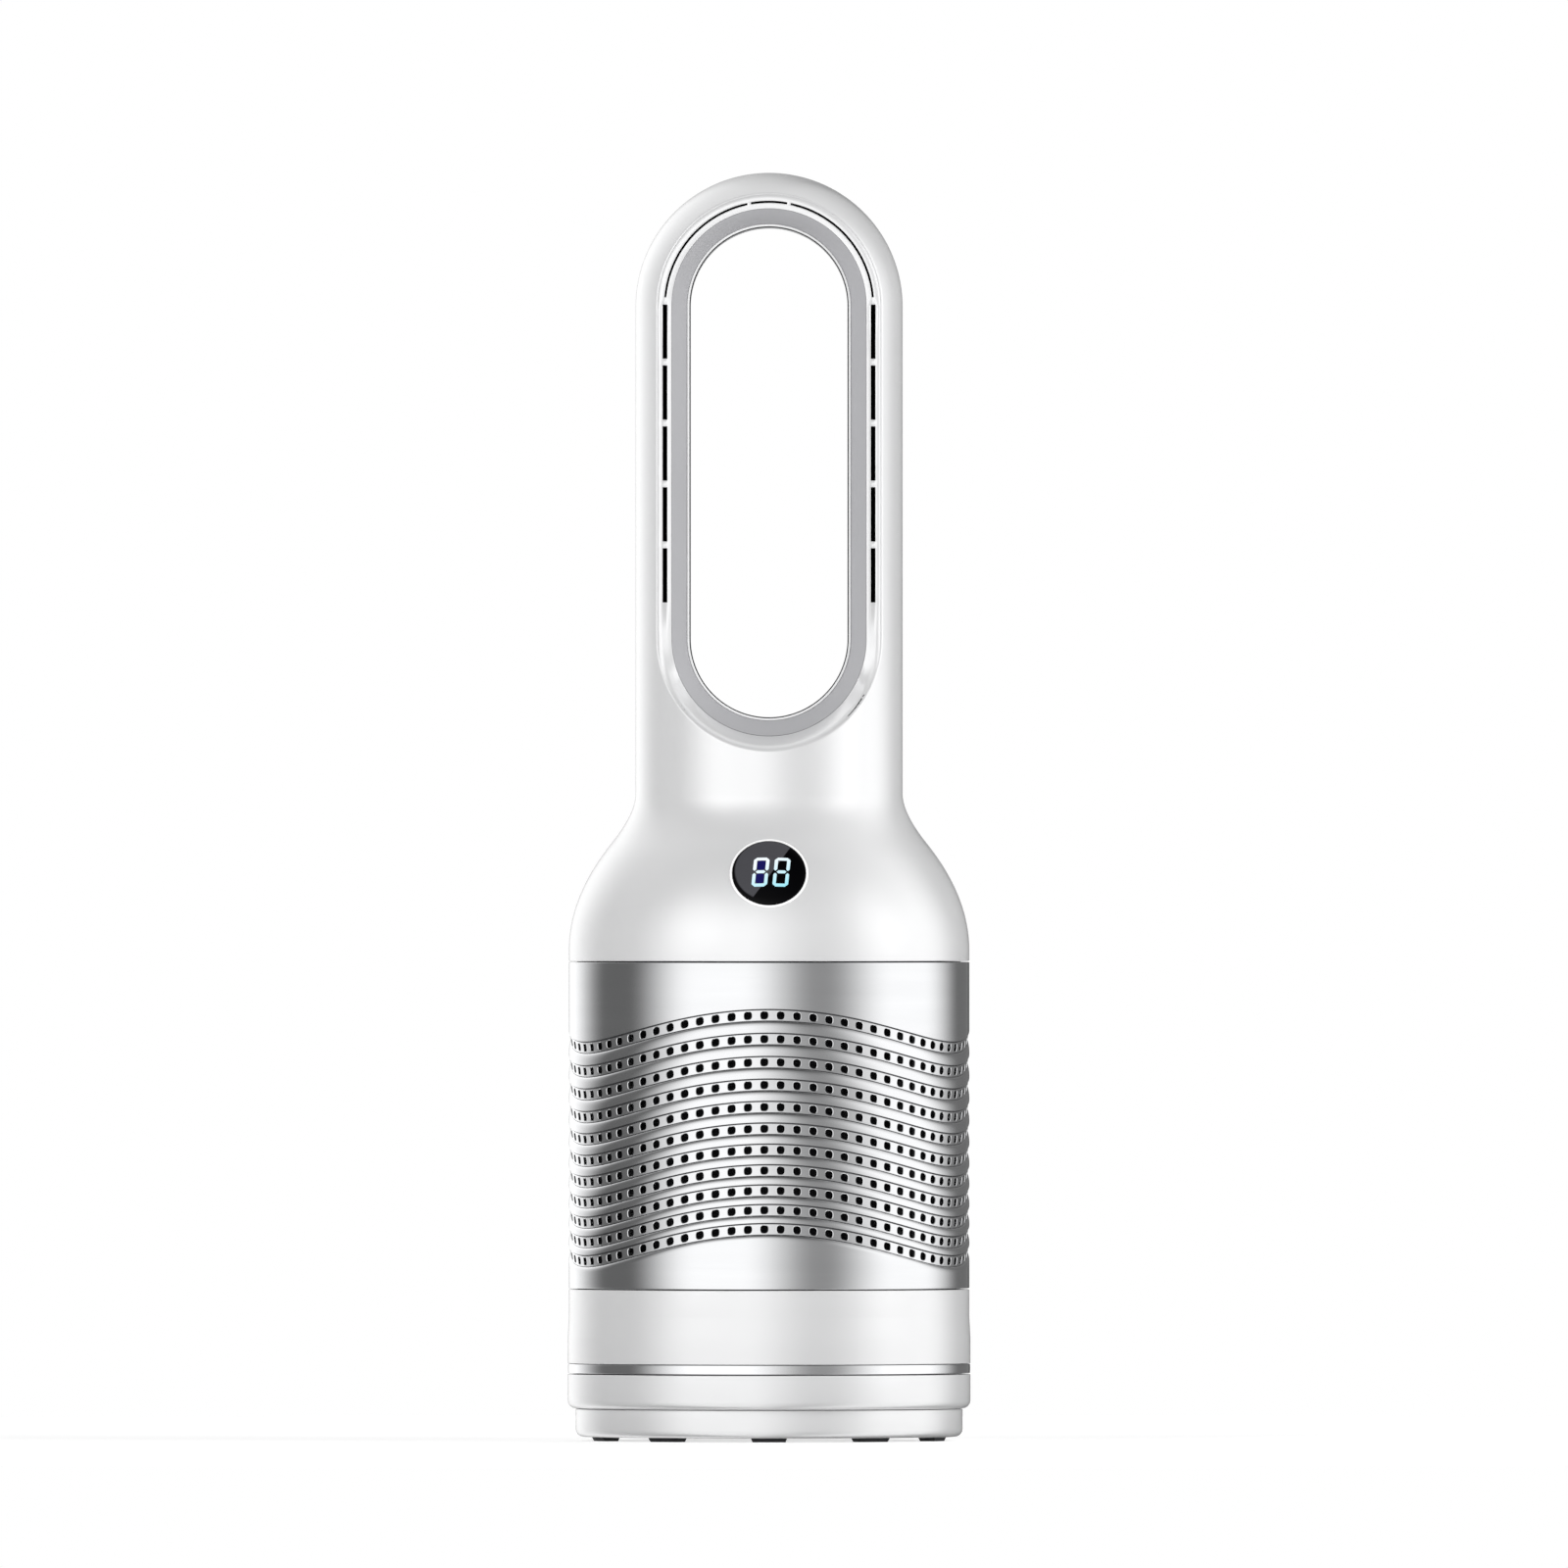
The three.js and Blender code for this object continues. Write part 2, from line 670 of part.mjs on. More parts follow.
// A drum whose outside swells between wavy rows of windows. Each ring of points goes round at
// the window edges, so every window is one open cell between two rings.
function drumGrille() {
  const pitch = (2 * Math.PI) / windowsPerRow;
  const edges = [];
  for (let i = 0; i < windowsPerRow; i++) {
    edges.push((i - windowShare / 2) * pitch, (i + windowShare / 2) * pitch);
  }
  const points = [];
  const addRing = (radius, z, waved) =>
    edges.map((turn) => {
      const rise = waved ? rowRise(turn) : 0;
      return points.push([radius * Math.sin(turn), -radius * Math.cos(turn), z + rise]) - 1;
    });
  const index = [];
  const quad = (a, b, c, d) => index.push(a, b, c, a, c, d);
  const band = (low, high, inward, open) => {
    for (let j = 0; j < edges.length; j++) {
      const k = (j + 1) % edges.length;
      if (open && j % 2 === 0) continue;
      if (inward) quad(low[k], low[j], high[j], high[k]);
      else quad(low[j], low[k], high[k], high[j]);
    }
  };
  const firstRowZ = drumTopZ - rowTopDrop;
  let outer = addRing(bodyRadius, drumZ, false);
  let inner = addRing(drumBore, drumZ, false);
  band(inner, outer, false, false);
  for (let row = rowCount - 1; row >= 0; row--) {
    const z = firstRowZ - row * rowPitch;
    if (row === rowCount - 1) {
      const land = addRing(bodyRadius, z - rowPitch / 2, true);
      band(outer, land, false, false);
      outer = land;
    }
    const edgeRings = (depth, edge) => ({
      outer: addRing(bodyRadius - depth, edge, true),
      inner: addRing(drumBore, edge, true),
    });
    const sill = edgeRings(bandFoot, z - windowHeight / 2);
    const head = edgeRings(bandHead, z + windowHeight / 2);
    band(outer, sill.outer, false, false);
    band(inner, sill.inner, true, false);
    band(sill.outer, head.outer, false, true);
    band(sill.inner, head.inner, true, true);
    for (let j = 0; j < edges.length; j += 2) {
      const k = j + 1;
      quad(sill.inner[j], sill.outer[j], sill.outer[k], sill.inner[k]);
      quad(head.outer[j], head.inner[j], head.inner[k], head.outer[k]);
      quad(sill.outer[j], sill.inner[j], head.inner[j], head.outer[j]);
      quad(sill.inner[k], sill.outer[k], head.outer[k], head.inner[k]);
    }
    const land = addRing(bodyRadius, z + rowPitch / 2, true);
    band(head.outer, land, false, false);
    outer = land;
    inner = head.inner;
  }
  const topOuter = addRing(bodyRadius, drumTopZ, false);
  const topInner = addRing(drumBore, drumTopZ, false);
  band(outer, topOuter, false, false);
  band(inner, topInner, true, false);
  band(topOuter, topInner, false, false);
  const geometry = new THREE.BufferGeometry();
  geometry.setAttribute("position", new THREE.Float32BufferAttribute(points.flat(), 3));
  return geometry.setIndex(index);
}

// ---------------------------------------------------------------- Shells of shoulder, neck and loop
// What the flat front or rear face cuts off the round body, for side -1 or +1.
function faceCut(side) {
  const far = bodyRadius + 10;
  if (side > 0) {
    const above = box(-far, far, loopHalfDepth, far, loopLowZ, loopTopZ + 10);
    return join(loopPrism(sliceRadius, loopHalfDepth, far), above);
  }
  const above = box(-far, far, -far, -loopHalfDepth, loopLowZ, loopTopZ + 10);
  return join(loopPrism(sliceRadius, -far, -nozzleSeatY), above);
}

function halfShell(side, sections) {
  const far = bodyRadius + 10;
  const body = bodySolid(0);
  const [y0, y1] = side < 0 ? [-far, -fitGap / 2] : [fitGap / 2, far];
  const half = toSolid(box(-far, far, y0, y1, shellZ - 1, loopTopZ + 1));
  const flangeInner = cageRadius - cageRim;
  const flange = toSolid(ring(flangeInner, bodyRadius - skinWall / 2, shellZ, shellZ + skinWall));
  let solid = body.subtract(bodySolid(skinWall, shellZ - 1)).add(flange);
  sections.forEach((section) => {
    const turned = side < 0 ? section.map(([r, y]) => [r, -y]).reverse() : section;
    solid = solid.add(toSolid(loopSweep(turned)).intersect(body));
  });
  return solid.intersect(half).subtract(faceCut(side));
}

function frontShell() {
  const ledge = [
    [nozzleOuter - ledgeWidth, nozzleSeatY - skinWall],
    [sliceRadius + skinWall, nozzleSeatY - skinWall],
    [sliceRadius + skinWall, nozzleSeatY],
    [nozzleOuter - ledgeWidth, nozzleSeatY],
  ];
  const wall = [
    [sliceRadius, nozzleSeatY - skinWall / 2],
    [sliceRadius + skinWall, nozzleSeatY - skinWall / 2],
    [sliceRadius + skinWall, neckRadius + 5],
    [sliceRadius, neckRadius + 5],
  ];
  const place = displayPlace();
  const hole = rod(windowRadius + bezelWidth + 2 * fitGap, -displayDepth, displayDepth, windowSteps);
  return toGeometry(halfShell(-1, [ledge, wall]).subtract(toSolid(hole.applyMatrix4(place))));
}

function rearShell() {
  const round = 1.5;
  const face = [
    [openingRadius, 1.5 * fitGap],
    [openingRadius + linerWall, 1.5 * fitGap],
    [openingRadius + linerWall, loopHalfDepth - skinWall],
    [sliceRadius + skinWall, loopHalfDepth - skinWall],
    [sliceRadius + skinWall, loopHalfDepth],
    [openingRadius + round, loopHalfDepth],
    [openingRadius, loopHalfDepth - round],
  ];
  const wall = [
    [sliceRadius, loopHalfDepth - skinWall],
    [sliceRadius + skinWall, loopHalfDepth - skinWall],
    [sliceRadius + skinWall, neckRadius + 5],
    [sliceRadius, neckRadius + 5],
  ];
  const opening = toSolid(loopPrism(openingRadius, -neckRadius, neckRadius + 10));
  const scoop = toSolid(loopSweep(scoopSection(sliceRadius + skinWall / 2, 0)).rotateZ(Math.PI));
  const shell = halfShell(1, [face, wall]).subtract(opening);
  return toGeometry(shell.add(scoop.intersect(bodySolid(0))));
}

// A band round the opening, flat above and at the sides. Under the opening its outer rim rises to
// the neck's round surface, so that it dips like a scoop from the neck to the opening. Its back
// follows by a share of that rise.
function scoopSection(outer, share) {
  const [front, back] = [-loopHalfDepth, -loopHalfDepth + nozzleThickness];
  return (turn) => {
    const across = outer * Math.cos(turn);
    const rim = turn > Math.PI ? -Math.sqrt(neckRadius ** 2 - across ** 2) : front;
    const rise = Math.max(0, front - rim);
    return [
      [nozzleInner, front],
      [outer, front - rise],
      [outer, back - rise * share],
      [nozzleInner + skinWall, back],
      [nozzleInner, back],
    ];
  };
}

function nozzleRing() {
  const [front, back] = [-loopHalfDepth, -loopHalfDepth + nozzleThickness];
  let solid = toSolid(loopSweep(scoopSection(nozzleOuter, scoopThinning)));
  const slots = Math.floor(loopStraight / slotPitch);
  for (let i = 0; i < slots; i++) {
    const top = loopHighZ + slotStart - i * slotPitch;
    for (const side of [-1, 1]) {
      const x = side * slotRadius;
      const slot = box(x - slotWidth / 2, x + slotWidth / 2, front - 1, back + 1, top - slotLength, top);
      solid = solid.subtract(toSolid(slot));
    }
  }
  for (const [from, to] of archSlotAngles) {
    const steps = Math.max(3, Math.round((to - from) / 10));
    const band = arcBand(
      slotRadius - archSlotWidth / 2,
      slotRadius + archSlotWidth / 2,
      radians(90 - to),
      radians(90 - from),
      steps,
    );
    const slot = plate(band, -back - 1, -front + 1).rotateX(Math.PI / 2).translate(0, 0, loopHighZ);
    solid = solid.subtract(toSolid(slot));
  }
  return toGeometry(solid);
}

function bevelRing() {
  const front = -loopHalfDepth;
  const outer = bevelInner + bevelWidth;
  return loopSweep([
    [bevelInner, front + bevelDepth],
    [outer, front],
    [outer, front + bevelWall],
    [bevelInner, front + bevelDepth + bevelWall],
  ]);
}

function openingLiner() {
  const lip = 0.6;
  const front = -loopHalfDepth + bevelDepth;
  const outer = openingRadius + linerWall;
  return loopSweep([
    [openingRadius, front + lip],
    [openingRadius + lip, front],
    [outer - lip / 2, front],
    [outer, front + lip / 2],
    [outer, fitGap / 2],
    [openingRadius, fitGap / 2],
  ]);
}

// ---------------------------------------------------------------- Display
// The frame of the display: its own Z is the shoulder's outward normal, its own Y points up.
function displayPlace() {
  const z = shoulderZ + displayRise;
  const { radius, tilt } = shoulderAt(z);
  const place = new THREE.Matrix4().makeTranslation(0, -radius, z);
  return place.multiply(new THREE.Matrix4().makeRotationX(Math.PI / 2 - tilt));
}

// A round slug through the shoulder's skin, between two depths below the surface.
function skinSlug(radius, bore, top, bottom) {
  const place = displayPlace();
  const slug = toSolid(rod(radius, -displayDepth, displayDepth, windowSteps).applyMatrix4(place));
  const layer = bodySolid(top).subtract(bodySolid(bottom, shellZ - 1));
  const solid = slug.intersect(layer);
  if (!bore) return solid;
  const hole = rod(bore, -displayDepth - 1, displayDepth + 1, windowSteps);
  return solid.subtract(toSolid(hole.applyMatrix4(place)));
}

function displayWindow() {
  return toGeometry(skinSlug(windowRadius, 0, 0, windowThickness));
}

function displayBezel() {
  const outer = windowRadius + bezelWidth + fitGap;
  const lip = skinSlug(outer, windowRadius + fitGap, -bezelProud, windowThickness + displayLedge);
  const cupTop = -windowThickness - fitGap;
  const cup = ring(windowRadius - displayLedge, outer, -displayDepth, cupTop, windowSteps);
  const clear = bodySolid(windowThickness + fitGap);
  return toGeometry(lip.add(toSolid(cup.applyMatrix4(displayPlace())).intersect(clear)));
}

function sevenSegments(x) {
  const half = (digitHeight - digitStroke) / 2;
  const width = digitWidth - digitStroke;
  const bars = [-half, 0, half].map((y) => [x, y, width, digitStroke]);
  const posts = [-1, 1].flatMap((sx) =>
    [-1, 1].map((sy) => [x + (sx * width) / 2, (sy * half) / 2, digitStroke, half]),
  );
  return [...bars, ...posts];
}

function digitBlock() {
  const top = -windowThickness - digitDrop;
  const [width, height, depth] = digitBlockSize;
  const block = box(-width / 2, width / 2, -height / 2, height / 2, top - depth, top);
  const bars = [-digitSpacing / 2, digitSpacing / 2]
    .flatMap(sevenSegments)
    .map(([x, y, w, h]) => box(x - w / 2, x + w / 2, y - h / 2, y + h / 2, top - 0.5, top + fitGap));
  const lean = new THREE.Matrix4().makeShear(0, 0, digitSlant, 0, 0, 0);
  const solid = join(block, ...bars.map((bar) => bar.applyMatrix4(lean)));
  return toGeometry(solid).applyMatrix4(displayPlace());
}

function displayBoard() {
  const top = -windowThickness - digitDrop - digitBlockSize[2] - fitGap;
  const radius = windowRadius - displayLedge - fitGap;
  return rod(radius, top - boardThickness, top, windowSteps).applyMatrix4(displayPlace());
}

// ---------------------------------------------------------------- Cage and air path
function innerCage() {
  const foot = housingTopZ + fitGap;
  const rimTop = shellZ - fitGap;
  const footRing = ring(lidRadius + fitGap, cageRadius, foot, foot + cageRingHeight);
  const shelf = revolve([
    [cageRadius - cageShelf, shelfZ],
    [cageRadius, shelfZ],
    [cageRadius, rimTop],
    [cageRadius - cageRim, rimTop],
    [cageRadius - cageRim, shelfTopZ],
    [cageRadius - cageShelf, shelfTopZ],
    [cageRadius - cageShelf, shelfZ],
  ]);
  let solid = join(footRing, shelf);
  const wall = toSolid(ring(lidRadius + fitGap, cageRadius - fitGap, foot + 1, shelfZ + 1));
  for (let i = 0; i < cagePostCount; i++) {
    const slab = box(lidRadius - 5, cageRadius + 5, -cagePostWidth / 2, cagePostWidth / 2, foot, rimTop);
    const turn = radians(45) + (i * 2 * Math.PI) / cagePostCount;
    solid = solid.add(wall.intersect(toSolid(slab.rotateZ(turn))));
  }
  return toGeometry(solid);
}

function filterSleeve() {
  const outer = lidRadius - filterGap;
  const bottom = housingTopZ + lidThickness + 2 * fitGap;
  return ring(outer - filterWall, outer, bottom, shelfZ - fitGap, casingSteps);
}

function casingSeal() {
  const bottom = shelfTopZ + fitGap;
  return ring(sealInner, sealInner + sealWidth, bottom, bottom + sealHeight, casingSteps);
}

// Inside radius of the casing at a height, an even swelling from the inlet to full width.
function casingAt(z) {
  const t = THREE.MathUtils.clamp((z - casingZ) / casingFlare, 0, 1);
  return casingInlet + (casingRadius - casingInlet) * t * t * (3 - 2 * t);
}

function hubAt(z) {
  const t = THREE.MathUtils.clamp((z - casingZ - impellerRise) / impellerHeight, 0, 1);
  return impellerNose + (podRadius - fitGap - impellerNose) * Math.sin((t * Math.PI) / 2);
}

// A curved vane between two radii that change with height.
function vane({ rootAt, tipAt, bottom, top, wrap, thickness, steps }) {
  const rings = [];
  for (let i = 0; i <= steps; i++) {
    const t = i / steps;
    const z = bottom + (top - bottom) * t;
    const lean = wrap(t);
    const [root, tip] = [rootAt(z), tipAt(z)];
    const corner = (radius, side) => {
      const turn = lean + (side * thickness) / (2 * radius);
      return [radius * Math.cos(turn), radius * Math.sin(turn), z];
    };
    rings.push([corner(root, -1), corner(tip, -1), corner(tip, 1), corner(root, 1)]);
  }
  return skinRun(rings);
}

function motorCasing() {
  const steps = 5;
  const wallPoints = (extra) =>
    Array.from({ length: steps + 1 }, (_, i) => casingZ + (casingFlare * i) / steps).map((z) => [
      casingAt(z) + extra,
      z,
    ]);
  const flangeTop = casingTopZ + casingWall;
  const casing = toSolid(
    revolve(
      [
        ...wallPoints(casingWall),
        [casingRadius + casingWall, casingTopZ],
        [casingFlangeRadius, casingTopZ],
        [casingFlangeRadius, flangeTop],
        [casingRadius, flangeTop],
        ...wallPoints(0).reverse(),
        wallPoints(casingWall)[0],
      ],
      casingSteps,
    ),
  );
  const podInner = podRadius - podWall;
  const bore = shaftRadius + 1;
  const boss = ballBearingRadius + fitGap;
  const floorTop = podFloorZ + podWall;
  const pod = revolve(
    [
      [bore, podFloorZ],
      [podRadius, podFloorZ],
      [podRadius, podTopZ],
      [podInner, podTopZ],
      [podInner, floorTop],
      [boss + bossWall, floorTop],
      [boss + bossWall, floorTop + ballBearingWidth],
      [boss, floorTop + ballBearingWidth],
      [boss, floorTop],
      [bore, floorTop],
      [bore, podFloorZ],
    ],
    innerSteps,
  );
  let solid = casing.add(toSolid(pod));
  for (let i = 0; i < vaneCount; i++) {
    const blade = vane({
      rootAt: () => podRadius - podWall / 2,
      tipAt: (z) => casingAt(z) + casingWall / 2,
      bottom: podFloorZ + 6,
      top: podTopZ - 6,
      wrap: (t) => -radians(30) * (1 - t) ** 2,
      thickness: vaneThickness,
      steps: 3,
    });
    solid = solid.add(toSolid(blade.rotateZ((i * 2 * Math.PI) / vaneCount)));
  }
  return toGeometry(solid);
}

function intakeBell() {
  const [inner, outer] = [casingInlet, casingInlet + casingWall];
  const top = casingZ - fitGap;
  const bottom = top - bellHeight;
  return revolve(
    [
      [inner, top],
      [inner + bellLip * 0.15, top - bellHeight * 0.55],
      [inner + bellLip * 0.55, top - bellHeight * 0.9],
      [inner + bellLip, bottom],
      [inner + bellLip + 1, bottom + casingWall],
      [outer + bellLip * 0.5, top - bellHeight * 0.55],
      [outer, top],
      [inner, top],
    ],
    casingSteps,
  );
}

function tailCone() {
  const bottom = podTopZ + fitGap;
  const steps = 4;
  const top = bottom + coneHeight;
  const side = (inset) =>
    Array.from({ length: steps + 1 }, (_, i) => i / steps).map((t) => [
      coneTip + (podRadius - coneTip) * Math.cos((t * Math.PI) / 2) - inset,
      bottom + coneHeight * t - (t === 1 ? inset : 0),
    ]);
  const profile = [...side(0), [0, top], [0, top - podWall], ...side(podWall).reverse(), side(0)[0]];
  return revolve(profile, casingSteps);
}

function motorStator() {
  return ring(statorInner, podRadius - podWall - fitGap, statorZ, statorTopZ, innerSteps);
}

function motorEndCap() {
  const bottom = statorTopZ + fitGap;
  const top = bottom + podWall;
  const boss = ballBearingRadius + fitGap;
  const outer = podRadius - podWall - fitGap;
  return revolve(
    [
      [shaftRadius + 1, bottom],
      [outer, bottom],
      [outer, top],
      [boss + bossWall, top],
      [boss + bossWall, top + ballBearingWidth],
      [boss, top + ballBearingWidth],
      [boss, top],
      [shaftRadius + 1, top],
      [shaftRadius + 1, bottom],
    ],
    innerSteps,
  );
}

function motorBearing(seatZ) {
  const top = seatZ + ballBearingWidth - fitGap;
  return ring(shaftRadius + fitGap, ballBearingRadius, seatZ + fitGap, top, innerSteps);
}

// ---------------------------------------------------------------- Impeller and rotor
function impeller() {
  const bottom = casingZ + impellerRise;
  const top = bottom + impellerHeight;
  const steps = 4;
  const hubPoints = Array.from({ length: steps + 1 }, (_, i) => bottom + (impellerHeight * i) / steps);
  const bore = shaftRadius + fitGap;
  const hub = revolve(
    [
      [bore, bottom],
      ...hubPoints.map((z) => [hubAt(z), z]),
      [hubAt(top) - 3, top],
      [impellerNose + 3, top - impellerHeight * 0.6],
      [impellerNose, top - impellerHeight * 0.6],
      [impellerNose, top - impellerHeight * 0.2],
      [bore, top - impellerHeight * 0.2],
      [bore, bottom],
    ],
    casingSteps,
  );
  let solid = toSolid(hub);
  for (let i = 0; i < bladeCount; i++) {
    const blade = vane({
      rootAt: (z) => hubAt(z) - 1.5,
      tipAt: (z) => casingAt(z) - tipGap,
      bottom: bottom + 3,
      top: top - 2,
      wrap: (t) => radians(bladeWrap) * t,
      thickness: bladeThickness,
      steps: 4,
    });
    solid = solid.add(toSolid(blade.rotateZ((i * 2 * Math.PI) / bladeCount)));
  }
  return toGeometry(solid);
}

function motorShaft() {
  const bottom = casingZ + impellerRise + 4;
  const top = statorTopZ + fitGap + podWall + ballBearingWidth + 2;
  return rod(shaftRadius, bottom, top, 12);
}

function motorRotor() {
  const inner = shaftRadius + fitGap;
  return ring(inner, statorInner - rotorGap, statorZ + 1, statorTopZ - 1, innerSteps);
}

// ---------------------------------------------------------------- The assembly
function piece(name, geometry, material) {
  const mesh = new THREE.Mesh(geometry, material);
  mesh.name = name;
  return mesh;
}

// The base stands still and carries everything else.
const base = new THREE.Group();
base.add(
  piece("foot_plate", footPlate(), white()),
  piece("base_cover", baseCover(), white()),
  piece("ballast_plate", ballastPlate(), steel()),
  piece("turntable_bearing", turntableBearing(), greyPlastic()),
  piece("swing_gear", swingGear(), greyPlastic()),
  piece("power_inlet", powerInlet(), darkPlastic()),
);
for (let i = 0; i < padCount; i++) {
  base.add(piece(`foot_pad_${i + 1}`, footPad(i), rubber()));
}

// The tower swings on the base about the Z axis.
const tower = new THREE.Group();
tower.add(
  piece("lower_housing", lowerHousing(), white()),
  piece("chrome_ring", chromeRing(), metal(0xd8d9db, 0.08)),
  piece("hub_retainer", hubRetainer(), steel()),
  piece("control_board", controlBoard(), plastic(0x1f6b3a, 0.6)),
  piece("transformer", transformer(), plastic(0xd9a620, 0.5)),
  piece("electronics_lid", electronicsLid(), darkPlastic()),
  piece("drum_grille", drumGrille(), metal(0xc9cacd, 0.25)),
  piece("inner_cage", innerCage(), darkPlastic()),
  piece("filter_sleeve", filterSleeve(), plastic(0x17181a, 0.95)),
  piece("casing_seal", casingSeal(), rubber()),
  piece("motor_casing", motorCasing(), darkPlastic()),
  piece("intake_bell", intakeBell(), darkPlastic()),
  piece("motor_stator", motorStator(), metal(0x8a5a34, 0.5)),
  piece("motor_end_cap", motorEndCap(), steel()),
  piece("lower_motor_bearing", motorBearing(podFloorZ + podWall), steel()),
  piece("upper_motor_bearing", motorBearing(statorTopZ + fitGap + podWall), steel()),
  piece("tail_cone", tailCone(), darkPlastic()),
  piece("front_shell", frontShell(), white()),
  piece("rear_shell", rearShell(), white()),
  piece("nozzle_ring", nozzleRing(), white()),
  piece("bevel_ring", bevelRing(), greyPlastic()),
  piece("opening_liner", openingLiner(), white()),
  piece("display_bezel", displayBezel(), white()),
  piece("display_window", displayWindow(), plastic(0x050506, 0.05)),
  piece("display_digits", digitBlock(), plastic(0xdff4ff, 0.4)),
  piece("display_board", displayBoard(), plastic(0x1f6b3a, 0.6)),
);
const swingDrive = new THREE.Group();
swingDrive.position.set(0, -swingCentre, 0);
swingDrive.add(
  piece("swing_motor", swingMotor(), steel()),
  piece("swing_pinion", swingPinion(), steel()),
);
tower.add(swingDrive);

// The impeller, its shaft and the motor's rotor spin together.
const spinner = new THREE.Group();
spinner.add(
  piece("impeller", impeller(), greyPlastic()),
  piece("motor_shaft", motorShaft(), steel()),
  piece("motor_rotor", motorRotor(), darkPlastic()),
);
tower.add(spinner);

const fan = new THREE.Group();
fan.add(base, tower);
export default fan;
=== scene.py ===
"""The looks of a bladeless tower fan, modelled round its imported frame."""

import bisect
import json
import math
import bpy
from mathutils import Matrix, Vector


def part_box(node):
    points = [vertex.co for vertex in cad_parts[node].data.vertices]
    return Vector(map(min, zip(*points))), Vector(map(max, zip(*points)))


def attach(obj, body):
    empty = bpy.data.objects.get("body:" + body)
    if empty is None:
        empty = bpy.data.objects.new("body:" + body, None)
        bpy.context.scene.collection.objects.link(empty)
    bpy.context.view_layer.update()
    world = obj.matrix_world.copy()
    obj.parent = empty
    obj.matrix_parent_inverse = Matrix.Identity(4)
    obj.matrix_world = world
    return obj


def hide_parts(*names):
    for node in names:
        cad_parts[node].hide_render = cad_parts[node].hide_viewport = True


bl_info = {
    "name": "Bladeless Tower Fan",
    "version": (1, 0, 0),
    "blender": (4, 5, 0),
    "location": "3D View > Sidebar > Fan",
    "description": "Builds the outside of a bladeless tower fan, its finishes and a plain studio",
    "category": "Object",
}

import bmesh
import bpy
from bpy.props import FloatProperty, FloatVectorProperty, IntProperty, PointerProperty
from mathutils import Matrix, Vector

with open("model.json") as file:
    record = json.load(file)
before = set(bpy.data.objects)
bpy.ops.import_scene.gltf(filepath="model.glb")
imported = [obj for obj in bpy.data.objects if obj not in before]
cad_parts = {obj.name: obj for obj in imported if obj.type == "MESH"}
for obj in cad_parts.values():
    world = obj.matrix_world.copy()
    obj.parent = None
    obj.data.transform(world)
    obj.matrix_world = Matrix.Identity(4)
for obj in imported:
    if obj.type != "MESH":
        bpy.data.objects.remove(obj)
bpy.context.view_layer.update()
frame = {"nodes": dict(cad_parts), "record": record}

MM = 0.001
SEAM = 0.15 * MM  # half of the parting line between the front and rear shells
WELD = 0.002 * MM  # corners closer than this become one


def node_top(node):
    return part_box(node)[1][2]


def node_foot(node):
    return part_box(node)[0][2]


# ------------------------------------------------------------------ Sizes and colours
def length(name, description, millimetres):
    size = millimetres * MM
    return FloatProperty(
        name=name, description=description, default=size, unit="LENGTH", precision=5
    )


def count(name, description, number):
    return IntProperty(name=name, description=description, default=number, min=3)


def colour(name, description, value):
    return FloatVectorProperty(
        name=name, description=description, default=value, size=3, subtype="COLOR", min=0, max=1
    )


class FanBodySizes(bpy.types.PropertyGroup):
    body_radius: length("Drum radius", "Outside of the drum and of the shoulder's foot", 107.3)
    neck_radius: length("Neck radius", "Outside of the neck and of the loop", 71.57)
    shoulder_foot: length("Shoulder foot", "Height where the shoulder starts to curve in", 262.8)
    neck_foot: length("Neck foot", "Height where the shoulder has become the neck", 346.5)
    loop_low: length("Lower arc centre", "Height of the centre of the opening's lower arc", 429.5)
    loop_high: length("Upper arc centre", "Height of the centre of the opening's upper arc", 607.6)
    shoulder_reach: length("Shoulder reach", "Run of the shoulder's outer curve up the drum wall", 28.7)
    neck_reach: length("Neck reach", "Run of the neck's inner curve down the neck wall", 10.4)
    wall: length("Wall", "Thickness of the moulded covers", 1.6)


class FanLoopSizes(bpy.types.PropertyGroup):
    half_depth: length("Half depth", "From the middle of the loop to its flat faces", 39.5)
    band_outer: length("Band outside", "Outer radius of the slotted band", 59.7)
    band_inner: length("Band inside", "Inner radius of the slotted band", 52.15)
    bevel_inner: length("Bevel inside", "Inner radius of the grey bevel", 43.95)
    bevel_depth: length("Bevel depth", "How far the bevel falls back", 7.7)
    opening: length("Opening radius", "Radius of the opening's rounded ends", 42)
    slot_radius: length("Slot radius", "Radius of the line of slots", 55.7)
    slot_width: length("Slot width", "Width of the straight slots", 2.5)
    slot_length: length("Slot length", "Length of the straight slots", 29)
    slot_pitch: length("Slot pitch", "From one straight slot to the next", 32.6)
    arch_slot_width: length("Arch slot width", "Width of the slots round the top", 1.15)


class FanDrumSizes(bpy.types.PropertyGroup):
    holes: count("Holes", "Holes in each row", 76)
    rows: count("Rows", "Rows of holes", 11)
    first_pitch: length("First pitch", "From the highest row to the next", 12.66)
    last_pitch: length("Last pitch", "From the lowest row but one to the lowest", 9.92)
    first_row: length("First row", "Mean height of the highest row", 219.9)
    hole_width: length("Hole width", "Width of one hole", 4.2)
    hole_height: length("Hole height", "Height of one hole", 4.05)
    hole_corner: length("Hole corner", "Corner radius of one hole", 1.45)
    second_wave: length("Second wave", "Rise of the rows twice round the drum", 1.31)
    third_wave: length("Third wave", "Rise of the rows three times round the drum", 9.09)
    fourth_wave: length("Fourth wave", "Rise of the rows four times round the drum", -2.03)


